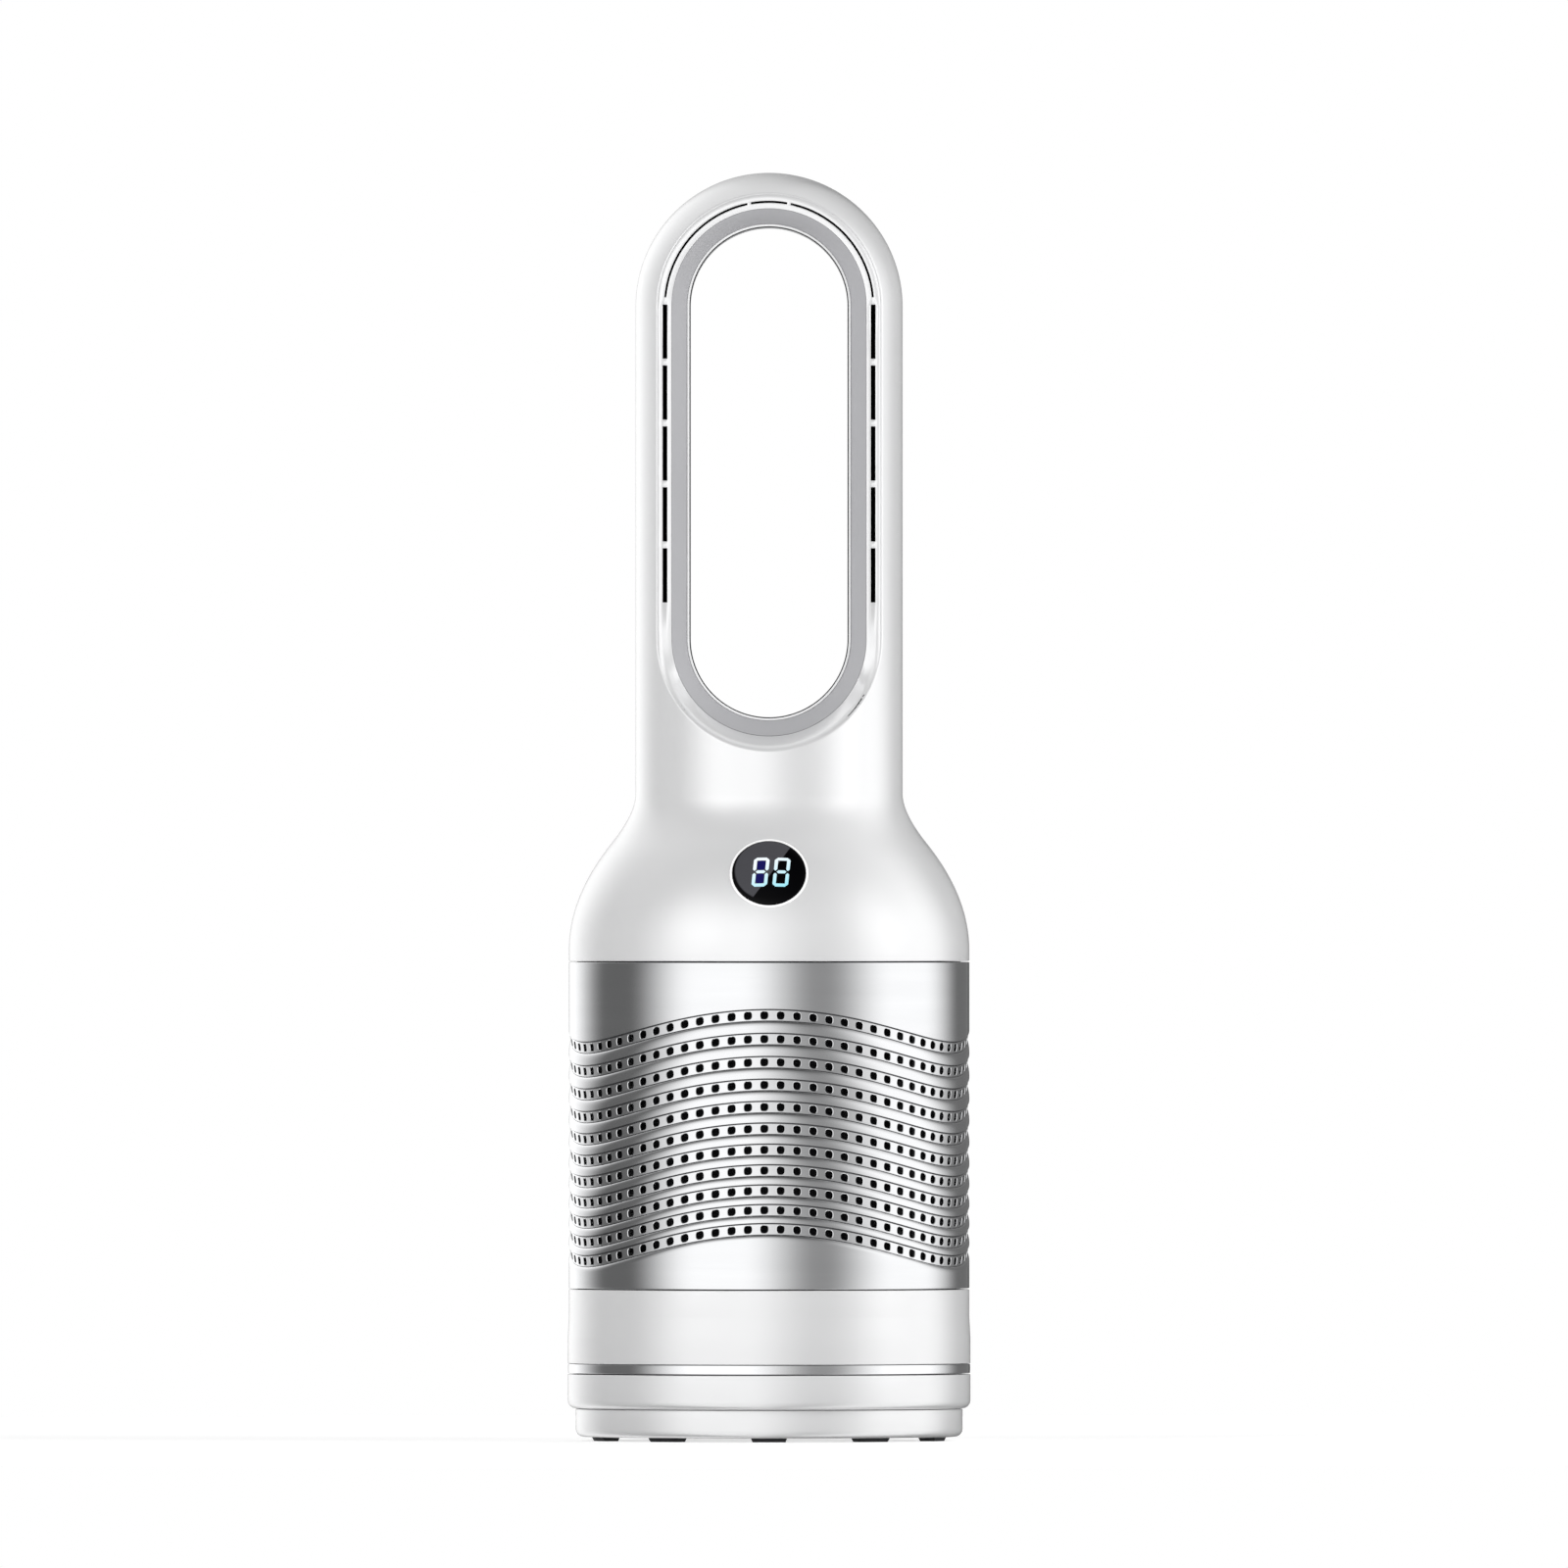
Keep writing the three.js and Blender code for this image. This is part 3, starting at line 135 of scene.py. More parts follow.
class FanDisplaySizes(bpy.types.PropertyGroup):
    centre: length("Centre", "Height of the middle of the window", 305)
    radius: length("Window radius", "Radius of the black window", 19.8)
    bezel: length("Bezel width", "Width of the white ring round the window", 1.15)
    digit_height: length("Digit height", "Height of the lit digits along the slope", 17.8)
    digit_width: length("Digit width", "Width of one lit digit", 8.4)
    stroke: length("Stroke", "Width of one lit bar", 1.8)
    break_up: length("Break", "Gap between the upper and lower bars", 1.3)
    spacing: length("Spacing", "From one digit to the next", 11.2)


class FanColours(bpy.types.PropertyGroup):
    white: colour("White", "Moulded covers", (0.86, 0.862, 0.868))
    silver: colour("Silver", "Perforated drum", (0.74, 0.745, 0.755))
    chrome: colour("Chrome", "Bright ring over the base", (0.8, 0.805, 0.815))
    grey: colour("Grey", "Bevel round the opening", (0.435, 0.435, 0.45))
    black: colour("Black", "Display window", (0.001, 0.001, 0.0015))
    light: colour("Light", "Lit digits", (0.9, 0.96, 1.0))
    # Painted reflection: a lighter base colour on the window's upper left stands in for a softbox's
    # reflection.
    painted_reflection: colour("Sheen", "Lighter part of the display window", (0.07, 0.07, 0.078))
    rubber: colour("Rubber", "Foot pads", (0.035, 0.035, 0.038))
    floor: colour("Floor", "Studio floor", (0.6, 0.6, 0.6))


# ------------------------------------------------------------------ Mesh helpers
def laid_grid(bm, columns, rows, place):
    """A grid of quads whose corner (column, row) goes to place(column, row)."""
    corners = bmesh.ops.create_grid(bm, x_segments=columns, y_segments=rows, size=0.5)["verts"]
    grid = {}
    for corner in corners:
        grid[round((corner.co.x + 0.5) * columns), round((corner.co.y + 0.5) * rows)] = corner
    for (i, j), corner in grid.items():
        corner.co = place(i, j)
    return grid


def turned(bm, profile, steps, start=0.0, angle=2 * math.pi):
    """Spins a chain of (radius, height) corners about the upright axis."""
    chain = [bm.verts.new((r * math.cos(start), r * math.sin(start), z)) for r, z in profile]
    links = [bm.edges.new(pair) for pair in zip(chain, chain[1:])]
    bmesh.ops.spin(
        bm,
        geom=chain + links,
        cent=(0, 0, 0),
        axis=(0, 0, 1),
        angle=angle,
        steps=steps,
        use_merge=angle >= 2 * math.pi,
    )


def rounded(corners, steps=4):
    """A chain of (radius, height, round) corners with each corner turned into an arc."""
    points = []
    last = len(corners) - 1
    for n, (r, z, round_by) in enumerate(corners):
        here = Vector((r, z))
        if not round_by or n in (0, last):
            points.append((r, z))
            continue
        back = (Vector(corners[n - 1][:2]) - here).normalized()
        ahead = (Vector(corners[n + 1][:2]) - here).normalized()
        half = back.angle(ahead) / 2
        cut = round_by / math.tan(half)
        centre = here + (back + ahead).normalized() * round_by / math.sin(half)
        first, final = here + back * cut - centre, here + ahead * cut - centre
        sweep = first.angle_signed(final)
        for k in range(steps + 1):
            turn = -sweep * k / steps
            arm = Vector((
                first.x * math.cos(turn) - first.y * math.sin(turn),
                first.x * math.sin(turn) + first.y * math.cos(turn),
            ))
            points.append(tuple(centre + arm))
    return points


def from_axis(point):
    return Vector((point.x, point.y, 0)).normalized()


def either_way(point):
    return Vector((0, 0, 0))


def clean(bm, outward=either_way):
    """Welds the corners that meet, and turns the faces so that most agree with outward(centre)."""
    bmesh.ops.remove_doubles(bm, verts=bm.verts, dist=WELD)
    bmesh.ops.recalc_face_normals(bm, faces=bm.faces)
    agree = sum(f.normal.dot(outward(f.calc_center_median())) * f.calc_area() for f in bm.faces)
    if agree < 0:
        bmesh.ops.reverse_faces(bm, faces=bm.faces)


def marked_edges(bm, layer, mark):
    return [e for e in bm.edges if all(v[layer] == mark for v in e.verts)]


def soften(bm, edges, width, segments=3):
    bmesh.ops.bevel(
        bm,
        geom=edges,
        offset=width,
        offset_type="OFFSET",
        segments=segments,
        profile=0.5,
        affect="EDGES",
        clamp_overlap=False,
        material=-1,
    )


def make_piece(name, bm, body, slot, replaces=(), materials=None, crease=35):
    """Turns the mesh into a piece of the fan that rides on a body; crease is in degrees."""
    mesh = bpy.data.meshes.new(name)
    bm.to_mesh(mesh)
    bm.free()
    for material in materials or [finish_of(slot)]:
        mesh.materials.append(material)
    mesh.shade_smooth()
    mesh.set_sharp_from_angle(angle=math.radians(crease))
    piece = bpy.data.objects.new(name, mesh)
    bpy.context.scene.collection.objects.link(piece)
    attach(piece, body)
    if replaces:
        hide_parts(*replaces)
    return piece


def thicken(piece, thickness, rim=1):
    """Gives a skin its wall, with the second material inside, and at its rim unless rim is 0."""
    wall = piece.modifiers.new("wall", "SOLIDIFY")
    wall.thickness = thickness
    wall.offset = -1
    wall.material_offset = 1
    wall.material_offset_rim = rim


# ------------------------------------------------------------------ Finishes
class Finish:
    """A procedural material on Object coordinates, built node by node."""

    def __init__(self, name, **numbers):
        self.material = bpy.data.materials.new(name)
        self.material.use_nodes = True
        self.tree = self.material.node_tree
        self.shader = self.tree.nodes["Principled BSDF"]
        for socket, value in numbers.items():
            self.shader.inputs[socket.replace("_", " ")].default_value = value
        self.place = self.tree.nodes.new("ShaderNodeTexCoord").outputs["Object"]

    def node(self, kind, **settings):
        made = self.tree.nodes.new(kind)
        for key, value in settings.items():
            if hasattr(made, key):
                setattr(made, key, value)
            else:
                made.inputs[key.replace("_", " ")].default_value = value
        return made

    def link(self, output, node, socket):
        self.tree.links.new(output, node.inputs[socket])

    def noise(self, scale, detail=2.0, stretch=(1, 1, 1)):
        mapping = self.node("ShaderNodeMapping")
        mapping.inputs["Scale"].default_value = stretch
        self.link(self.place, mapping, "Vector")
        grain = self.node("ShaderNodeTexNoise", Scale=scale, Detail=detail)
        self.link(mapping.outputs["Vector"], grain, "Vector")
        return grain.outputs["Fac"]

    def spread(self, value, low, high):
        span = self.node("ShaderNodeMapRange", From_Min=0.3, From_Max=0.7, To_Min=low, To_Max=high)
        self.link(value, span, "Value")
        return span.outputs["Result"]

    def slanted(self, slope, start, end):
        """From 0 at start to 1 at end, across a line that leans by slope in the front view."""
        split = self.node("ShaderNodeSeparateXYZ")
        self.link(self.place, split, "Vector")
        lean = self.node("ShaderNodeMath", operation="MULTIPLY_ADD")
        self.link(split.outputs["X"], lean, 0)
        lean.inputs[1].default_value = slope
        self.link(split.outputs["Z"], lean, 2)
        edge = self.node("ShaderNodeMapRange", From_Min=start, From_Max=end)
        self.link(lean.outputs["Value"], edge, "Value")
        return edge.outputs["Result"]

    def blend(self, first, second, share, socket="Base Color"):
        """Sends one of the shader's sockets a mix of two colours."""
        mix = self.node("ShaderNodeMix", data_type="RGBA")
        mix.inputs[6].default_value = (*first, 1)
        mix.inputs[7].default_value = (*second, 1)
        self.link(share, mix, 0)
        self.link(mix.outputs[2], self.shader, socket)

    def colour(self, base, value, change):
        """The base colour, a little lighter and darker with value."""
        darker = [c * (1 - change) for c in base]
        lighter = [min(1, c * (1 + change)) for c in base]
        self.blend(darker, lighter, self.spread(value, 0, 1))

    def roughness(self, value, low, high):
        self.link(self.spread(value, low, high), self.shader, "Roughness")

    def bump(self, value, depth):
        bump = self.node("ShaderNodeBump", Strength=1.0, Distance=depth)
        self.link(value, bump, "Height")
        self.link(bump.outputs["Normal"], self.shader, "Normal")


METAL = {"Metallic": 1.0}
UPRIGHT_GRAIN = (420, 3, (0.12, 0.12, 6))
WIRE = (500, 1, (0.1, 0.1, 8))
STEEL_GRAIN = (500, 3, (0.15, 0.15, 5))

# For each finish: its colour, or which of the fan's colours, with the noise that shades it and by
# what share; the noise of its roughness with the range; the noise of its bumps with their depth in
# millimetres; and the shader's other inputs. A noise is (scale, detail, stretch).
PLAIN_FINISHES = {
    "gloss_white": (
        ("white", (9,), 0.008), ((55, 3), 0.14, 0.18), ((900,), 0.004),
        {"Metallic": 0.27, "IOR": 1.65},
    ),
    # Near-black inside faces of the covers: painted shade where seams and slots look in.
    "unlit_inside": (
        ((0.006, 0.006, 0.007), (60,), 0.3), ((200,), 0.75, 0.95), ((1500,), 0.02),
        {"Specular_IOR_Level": 0.1},
    ),
    "satin_silver": (
        ("silver", (30, 3, (0.3, 0.3, 4)), 0.02), (UPRIGHT_GRAIN, 0.13, 0.18),
        (UPRIGHT_GRAIN, 0.0025), METAL,
    ),
    # Dark metal on the lip at the top of each hole band: painted shade for the dark line under the
    # step.
    "shaded_lip": (
        ((0.09, 0.09, 0.095), (60,), 0.1), ((300,), 0.4, 0.5), ((900,), 0.004), METAL,
    ),
    "mirror_chrome": (
        ("chrome", (20,), 0.01), ((260, 3, (0.2, 0.2, 5)), 0.1, 0.15), ((600,), 0.001), METAL,
    ),
    "soft_grey": (
        ("grey", (14,), 0.02), ((300, 3), 0.45, 0.55), ((2600,), 0.012),
        {"Specular_IOR_Level": 0.35},
    ),
    # White ring with a painted highlight: a faint emission makes it glow.
    "halo_white": (
        ((0.93, 0.93, 0.93), (60,), 0.01), ((300,), 0.25, 0.35), ((900,), 0.003),
        {"IOR": 1.6, "Emission_Strength": 0.12, "Emission_Color": (1, 1, 1, 1)},
    ),
    "dull_rubber": (
        ("rubber", (90,), 0.12), ((500, 3), 0.7, 0.9), ((1800, 3), 0.03),
        {"Specular_IOR_Level": 0.3},
    ),
    "dark_moulding": (
        ((0.03, 0.031, 0.034), (30,), 0.1), ((400, 3), 0.4, 0.55), ((2200,), 0.015),
        {"Specular_IOR_Level": 0.4},
    ),
    "bare_steel": (
        ((0.5, 0.505, 0.52), (25,), 0.06), (STEEL_GRAIN, 0.25, 0.42), (STEEL_GRAIN, 0.004), METAL,
    ),
    "copper_winding": (
        ((0.45, 0.19, 0.07), WIRE, 0.25), (WIRE, 0.3, 0.5), (WIRE, 0.1), {"Metallic": 0.8},
    ),
    "solder_mask": (
        ((0.012, 0.12, 0.04), (120, 4), 0.25), ((300,), 0.3, 0.45), ((700, 4), 0.03), {},
    ),
    "yellow_tape": (
        ((0.62, 0.4, 0.03), (80, 3, (1, 1, 6)), 0.12), ((300,), 0.35, 0.5),
        ((400, 2, (1, 1, 8)), 0.04), {},
    ),
    "filter_fibre": (
        ((0.006, 0.006, 0.0065), (700, 4), 0.4), ((900,), 0.85, 1.0), ((1500, 5), 0.15),
        {"Specular_IOR_Level": 0.1},
    ),
}


def plain_finishes(colours):
    for name, (shade, rough, bumps, inputs) in PLAIN_FINISHES.items():
        finish = Finish(name, **inputs)
        base, grain, change = shade
        base = getattr(colours, base) if isinstance(base, str) else base
        finish.colour(base, finish.noise(*grain), change)
        finish.roughness(finish.noise(*rough[0]), *rough[1:])
        finish.bump(finish.noise(*bumps[0]), bumps[1] * MM)


def smoked_window(colours):
    """Black glass whose upper left half carries a painted reflection, a lighter base colour cut off
    along a slanting line.
    """
    finish = Finish("smoked_window", Specular_IOR_Level=0.1)
    finish.roughness(finish.noise(120), 0.05, 0.09)
    finish.bump(finish.noise(150), 0.0008 * MM)
    # Mask of the painted reflection: above the slanting line and inside the window's rim.
    edge = finish.slanted(-1.33, 302.4 * MM, 303 * MM)
    middle = finish.node("ShaderNodeVectorMath", operation="DISTANCE")
    finish.link(finish.place, middle, 0)
    middle.inputs[1].default_value = (0, -92.5 * MM, 305 * MM)
    rim = finish.node("ShaderNodeMapRange", From_Min=18.7 * MM, From_Max=17.8 * MM)
    finish.link(middle.outputs["Value"], rim, "Value")
    both = finish.node("ShaderNodeMath", operation="MULTIPLY")
    finish.link(edge, both, 0)
    finish.link(rim.outputs["Result"], both, 1)
    finish.blend(colours.black, colours.painted_reflection, both.outputs["Value"])


def lit_digit(colours):
    """White at the top left, turning to cyan towards the lower right."""
    finish = Finish("lit_digit", Roughness=0.4, Emission_Strength=1.0)
    finish.colour((0.03, 0.035, 0.04), finish.noise(300), 0.1)
    cyan = (0.3, 0.8, 0.92)
    finish.blend(colours.light, cyan, finish.slanted(-0.4, 311 * MM, 293 * MM), "Emission Color")


def blue_glow(colours):
    """The faint blue ground that shows through the left digit."""
    finish = Finish("blue_glow", Roughness=0.3, Emission_Strength=1.0, Specular_IOR_Level=0.05)
    finish.colour((0.004, 0.004, 0.04), finish.noise(300), 0.3)
    finish.shader.inputs["Emission Color"].default_value = (0.006, 0.005, 0.06, 1)


SLOT_FINISH = {
    "white_plastic": "gloss_white",
    "drum_metal": "satin_silver",
    "chrome": "mirror_chrome",
    "grey_plastic": "soft_grey",
    "dark_plastic": "dark_moulding",
    "rubber": "dull_rubber",
    "steel": "bare_steel",
    "copper_winding": "copper_winding",
    "circuit_board": "solder_mask",
    "transformer_tape": "yellow_tape",
    "black_window": "smoked_window",
    "lit_digits": "lit_digit",
    "filter_fibre": "filter_fibre",
}


def finish_of(slot):
    return bpy.data.materials[SLOT_FINISH[slot]]


def inside_and_out():
    # White outside, with painted shade on the inside faces.
    return [finish_of("white_plastic"), bpy.data.materials["unlit_inside"]]


# ------------------------------------------------------------------ Outline of shoulder and neck
def bezier(a, b, c, steps):
    """Points of a quadratic curve after its first, from a by way of b to c."""
    ramp = [(k + 1) / steps for k in range(steps)]
    return [a * (1 - t) ** 2 + b * 2 * t * (1 - t) + c * t * t for t in ramp]


def shoulder_outline(sizes):
    """The shoulder's (radius, height) points, from its straight foot to the neck."""
    foot = Vector((sizes.body_radius, sizes.shoulder_foot))
    outer = foot + Vector((0, sizes.shoulder_reach))
    neck = Vector((sizes.neck_radius, sizes.neck_foot))
    inner = neck - Vector((0, sizes.neck_reach))
    meet = outer.lerp(inner, 0.64)
    return [foot, *bezier(foot, outer, meet, 26), *bezier(meet, inner, neck, 18)]


def skin_radius(outline, z):
    """The shoulder's radius at a height."""
    heights = [p.y for p in outline]
    k = min(max(bisect.bisect(heights, z), 1), len(outline) - 1)
    low, high = outline[k - 1], outline[k]
    share = (z - low.y) / (high.y - low.y)
    return low.x + (high.x - low.x) * min(max(share, 0), 1)


# ------------------------------------------------------------------ The loop's path
ARC_STEPS = 72
STRAIGHT_STEPS = 10


def path_stations(sizes):
    """Stations round the opening as (turn, centre height), closed, from the left down and round."""
    low, high = sizes.loop_low, sizes.loop_high
    lower = [(math.pi * (1 + k / ARC_STEPS), low) for k in range(ARC_STEPS)]
    right = [(0.0, low + (high - low) * k / STRAIGHT_STEPS) for k in range(STRAIGHT_STEPS)]
    upper = [(math.pi * k / ARC_STEPS, high) for k in range(ARC_STEPS)]
    left = [(math.pi, high + (low - high) * k / STRAIGHT_STEPS) for k in range(STRAIGHT_STEPS)]
    return [*lower, (2 * math.pi, low), *right[1:], *upper, *left, (math.pi, low)]


def skin_depth(sizes, turn, radius):
    """How far the round skin stands off the loop's middle plane, at a place round the opening."""
    across = radius * math.cos(turn) if turn > math.pi else radius
    return math.sqrt(max(0.0, sizes.neck_radius ** 2 - across ** 2))


def at_station(station, radius, y):
    turn, centre = station
    return Vector((radius * math.cos(turn), y, centre + radius * math.sin(turn)))


def sweep(bm, stations, section, closed=False):
    """Lays the section(station) corners of (radius, y) round the opening."""
    rows = len(section(stations[0])) - (0 if closed else 1)

    def place(i, j):
        corners = section(stations[i])
        radius, y = corners[j % len(corners)]
        return at_station(stations[i], radius, y)

    return laid_grid(bm, len(stations) - 1, rows, place)


def shell_lower(bm, sizes, side):
    """The neck under the loop and the shoulder, one half of the way round."""
    turns = [math.pi * (1 + k / ARC_STEPS) for k in range(ARC_STEPS + 1)]
    neck, low, foot = sizes.neck_radius, sizes.loop_low, sizes.neck_foot
    rows = 12

    def neck_place(i, j):
        top = low + neck * math.sin(turns[i])
        z = top + (foot - top) * j / rows
        return Vector((neck * math.cos(turns[i]), side * neck * abs(math.sin(turns[i])), z))

    laid_grid(bm, ARC_STEPS, rows, neck_place)
    base = node_foot("front_shell")
    body = sizes.body_radius
    corners = [(body - 4 * MM, base, 0), (body, base, 0.5 * MM), (body, sizes.shoulder_foot, 0)]
    rim = rounded(corners)
    profile = [Vector(p) for p in rim[:-1]] + shoulder_outline(sizes)

    def shoulder_place(i, j):
        r, z = profile[j]
        return Vector((r * math.cos(turns[i]), side * r * abs(math.sin(turns[i])), z))

    laid_grid(bm, ARC_STEPS, len(profile) - 1, shoulder_place)


def skin_rings(sizes, edge, steps=16):
    """Radii of rings on the round skin, from the flat face's edge out to the parting line."""
    lean = math.acos(edge / sizes.neck_radius)
    return [sizes.neck_radius * math.cos(lean * (1 - k / steps)) for k in range(1, steps + 1)]


def part_shells(bm, side):
    """Draws the skin back from the plane where the two shells meet."""
    for corner in bm.verts:
        if side * corner.co.y < SEAM:
            corner.co.y = side * SEAM


class FAN_OT_front_shell(bpy.types.Operator):
    """Front half of the shoulder, neck and loop"""

    bl_idname = "fan.front_shell"
    bl_label = "Front shell"

    def execute(self, context):
        sizes, loop = context.scene.fan_body, context.scene.fan_loop
        edge = loop.band_outer
        rings = skin_rings(sizes, edge)
        bm = bmesh.new()
        sweep(
            bm, path_stations(sizes),
            lambda station: [(r, -skin_depth(sizes, station[0], r)) for r in (edge, *rings)],
        )
        shell_lower(bm, sizes, -1)
        clean(bm, from_axis)
        part_shells(bm, -1)
        piece = make_piece(
            "front_cover", bm, "tower", "white_plastic", ["front_shell"], inside_and_out()
        )
        thicken(piece, sizes.wall)
        return {"FINISHED"}


class FAN_OT_rear_shell(bpy.types.Operator):
    """Rear half of the shoulder, neck and loop, with its flat face round the opening"""

    bl_idname = "fan.rear_shell"
    bl_label = "Rear shell"

    def execute(self, context):
        sizes, loop = context.scene.fan_body, context.scene.fan_loop
        edge = loop.band_outer
        rings = skin_rings(sizes, edge)
        bm = bmesh.new()
        mark = bm.verts.layers.int.new("mark")
        face = loop.half_depth

        def section(station):
            depths = [(r, skin_depth(sizes, station[0], r)) for r in (edge, *rings)]
            return [(loop.opening, 3 * SEAM), (loop.opening, face), (loop.band_inner, face), *depths]

        grid = sweep(bm, path_stations(sizes), section)
        for (_, j), corner in grid.items():
            corner[mark] = j if j in (1, 2, 3) else 0
        shell_lower(bm, sizes, 1)
        clean(bm, from_axis)
        opening_edge, crease = (marked_edges(bm, mark, n) for n in (1, 2))
        soften(bm, crease, 1.2 * MM)
        soften(bm, opening_edge, 1.6 * MM, 5)
        soften(bm, marked_edges(bm, mark, 3), 0.7 * MM)
        part_shells(bm, 1)
        piece = make_piece(
            "rear_cover", bm, "tower", "white_plastic", ["rear_shell"], inside_and_out()
        )
        thicken(piece, sizes.wall)
        return {"FINISHED"}


ARCH_SLOTS = ((4.7, 78), (80, 100), (102, 175.3))  # degrees of turn, from the right
SLOT_COLUMN = 5  # straight slots on each side
SLOT_OVERRUN = 0.7 * MM  # how far the highest straight slots run on into the arch
SLOT_RINGS = (1, 2, 3)  # of the band, from the inside; the arch slots take the middle one


class FAN_OT_nozzle_band(bpy.types.Operator):
    """Slotted band round the opening, which dips like a scoop under it"""

    bl_idname = "fan.nozzle_band"
    bl_label = "Nozzle band"

    def stations(self, sizes, loop):
        """Stations of the band, with one at each end of every slot, and the open spans."""
        low, high = sizes.loop_low, sizes.loop_high
        tops = [high + SLOT_OVERRUN - k * loop.slot_pitch for k in range(SLOT_COLUMN)]
        ends = [(top, top - loop.slot_length) for top in tops]
        heights = sorted({low, high, *(z for pair in ends for z in pair if low < z < high)})
        over_turn = SLOT_OVERRUN / loop.slot_radius
        turns = {0.0, over_turn, math.pi - over_turn, math.pi}
        for first, last in ARCH_SLOTS:
            steps = max(4, round((last - first) / 2.5))
            turns |= {math.radians(first + (last - first) * k / steps) for k in range(steps + 1)}
        lower = [(math.pi * (1 + k / ARC_STEPS), low) for k in range(ARC_STEPS + 1)]
        right = [(0.0, z) for z in heights[1:]]
        upper = [(turn, high) for turn in sorted(turns)[1:]]
        left = [(math.pi, z) for z in reversed(heights[:-1])]
        return [*lower, *right, *upper, *left], ends

    def is_open(self, loop, ends, first, last, ring):
        """Whether the cell between two stations lies in a slot."""
        (a, za), (b, zb) = first, last
        if max(a, b) > math.pi + 1e-6:
            return False
        if abs(a - b) < 1e-9:
            middle = (za + zb) / 2
            return any(foot < middle < top for top, foot in ends)
        turn = (a + b) / 2
        if min(turn, math.pi - turn) < SLOT_OVERRUN / loop.slot_radius:
            return True
        degrees = math.degrees(turn)
        return ring == SLOT_RINGS[1] and any(low < degrees < high for low, high in ARCH_SLOTS)

    def execute(self, context):
        sizes, loop = context.scene.fan_body, context.scene.fan_loop
        stations, ends = self.stations(sizes, loop)
        inner, outer = loop.band_inner, loop.band_outer - 0.03 * MM
        slot, wide, narrow = loop.slot_radius, loop.slot_width / 2, loop.arch_slot_width / 2
        radii = [inner, slot - wide, slot - narrow, slot + narrow, slot + wide, outer]
        bm = bmesh.new()
        mark = bm.verts.layers.int.new("mark")

        def section(station):
            face = -loop.half_depth
            rise = 0.0
            if station[0] > math.pi:
                rise = min(0.0, -skin_depth(sizes, station[0], loop.band_outer) - face)
            heights = [face + rise * (r - inner) / (outer - inner) for r in radii]
            return [(inner, face + 2 * MM), *zip(radii, heights)]

        grid = sweep(bm, stations, section)
        for (_, j), corner in grid.items():
            corner[mark] = int(j == 1)
        holes = []
        for i, (first, last) in enumerate(zip(stations, stations[1:])):
            for ring in SLOT_RINGS:
                if self.is_open(loop, ends, first, last, ring):
                    corners = {grid[a, b] for a in (i, i + 1) for b in (ring + 1, ring + 2)}
                    holes += [f for f in grid[i, ring + 1].link_faces if set(f.verts) == corners]
        bmesh.ops.delete(bm, geom=holes, context="FACES")
        clean(bm, lambda point: Vector((0, -1, 0)))
        soften(bm, marked_edges(bm, mark, 1), 0.15 * MM)
        piece = make_piece(
            "nozzle_band", bm, "tower", "white_plastic", ["nozzle_ring"], inside_and_out()
        )
        thicken(piece, 0.6 * MM, rim=0)
        return {"FINISHED"}


class FAN_OT_opening_trim(bpy.types.Operator):
    """Grey bevel round the opening, and the bright liner inside it"""

    bl_idname = "fan.opening_trim"
    bl_label = "Bevel and liner"

    def ring(self, stations, corners, soft, soft_width):
        bm = bmesh.new()
        mark = bm.verts.layers.int.new("mark")
        grid = sweep(bm, stations, lambda station: corners, closed=True)
        for (_, j), corner in grid.items():
            row = j % len(corners)
            corner[mark] = 1 + row if row in soft else 0
        clean(bm)
        for j in soft:
            soften(bm, marked_edges(bm, mark, 1 + j), soft_width, 2)
        return bm

    def execute(self, context):
        sizes, loop = context.scene.fan_body, context.scene.fan_loop
        stations = path_stations(sizes)
        front, back = -loop.half_depth, -loop.half_depth + loop.bevel_depth
        outer, inner = loop.band_inner - 0.12 * MM, loop.bevel_inner
        bevel = [(outer, front), (inner, back), (inner, back + 2 * MM), (outer, front + 2.2 * MM)]
        bm = self.ring(stations, bevel, (0, 1), 0.2 * MM)
        make_piece("grey_bevel", bm, "tower", "grey_plastic", ["bevel_ring"])
        edge = inner - 0.06 * MM
        r = loop.opening
        lip = back - 0.25 * MM
        liner = [
            (edge, -SEAM),
            (edge, back + 0.2 * MM),
            (edge - 0.3 * MM, lip),
            (r + 0.8 * MM, lip),
            (r + 0.6 * MM, lip + 0.2 * MM),
            (r + 0.55 * MM, lip + 0.9 * MM),
            (r + 0.15 * MM, lip + 0.9 * MM),
            (r + 0.1 * MM, lip + 0.35 * MM),
            (r, lip + 0.45 * MM),
            (r, -SEAM),
        ]
        bm = self.ring(stations, liner, (), 0)
        # The faces in the small groove behind the bevel take the dark moulding: a painted shadow line.
        for face in bm.faces:
            middle = face.calc_center_median()
            if lip + 0.25 * MM < middle.y < lip + 1.0 * MM:
                face.material_index = 1
        materials = [finish_of("white_plastic"), finish_of("dark_plastic")]
        make_piece("bright_liner", bm, "tower", "white_plastic", ["opening_liner"], materials, 28)
        return {"FINISHED"}


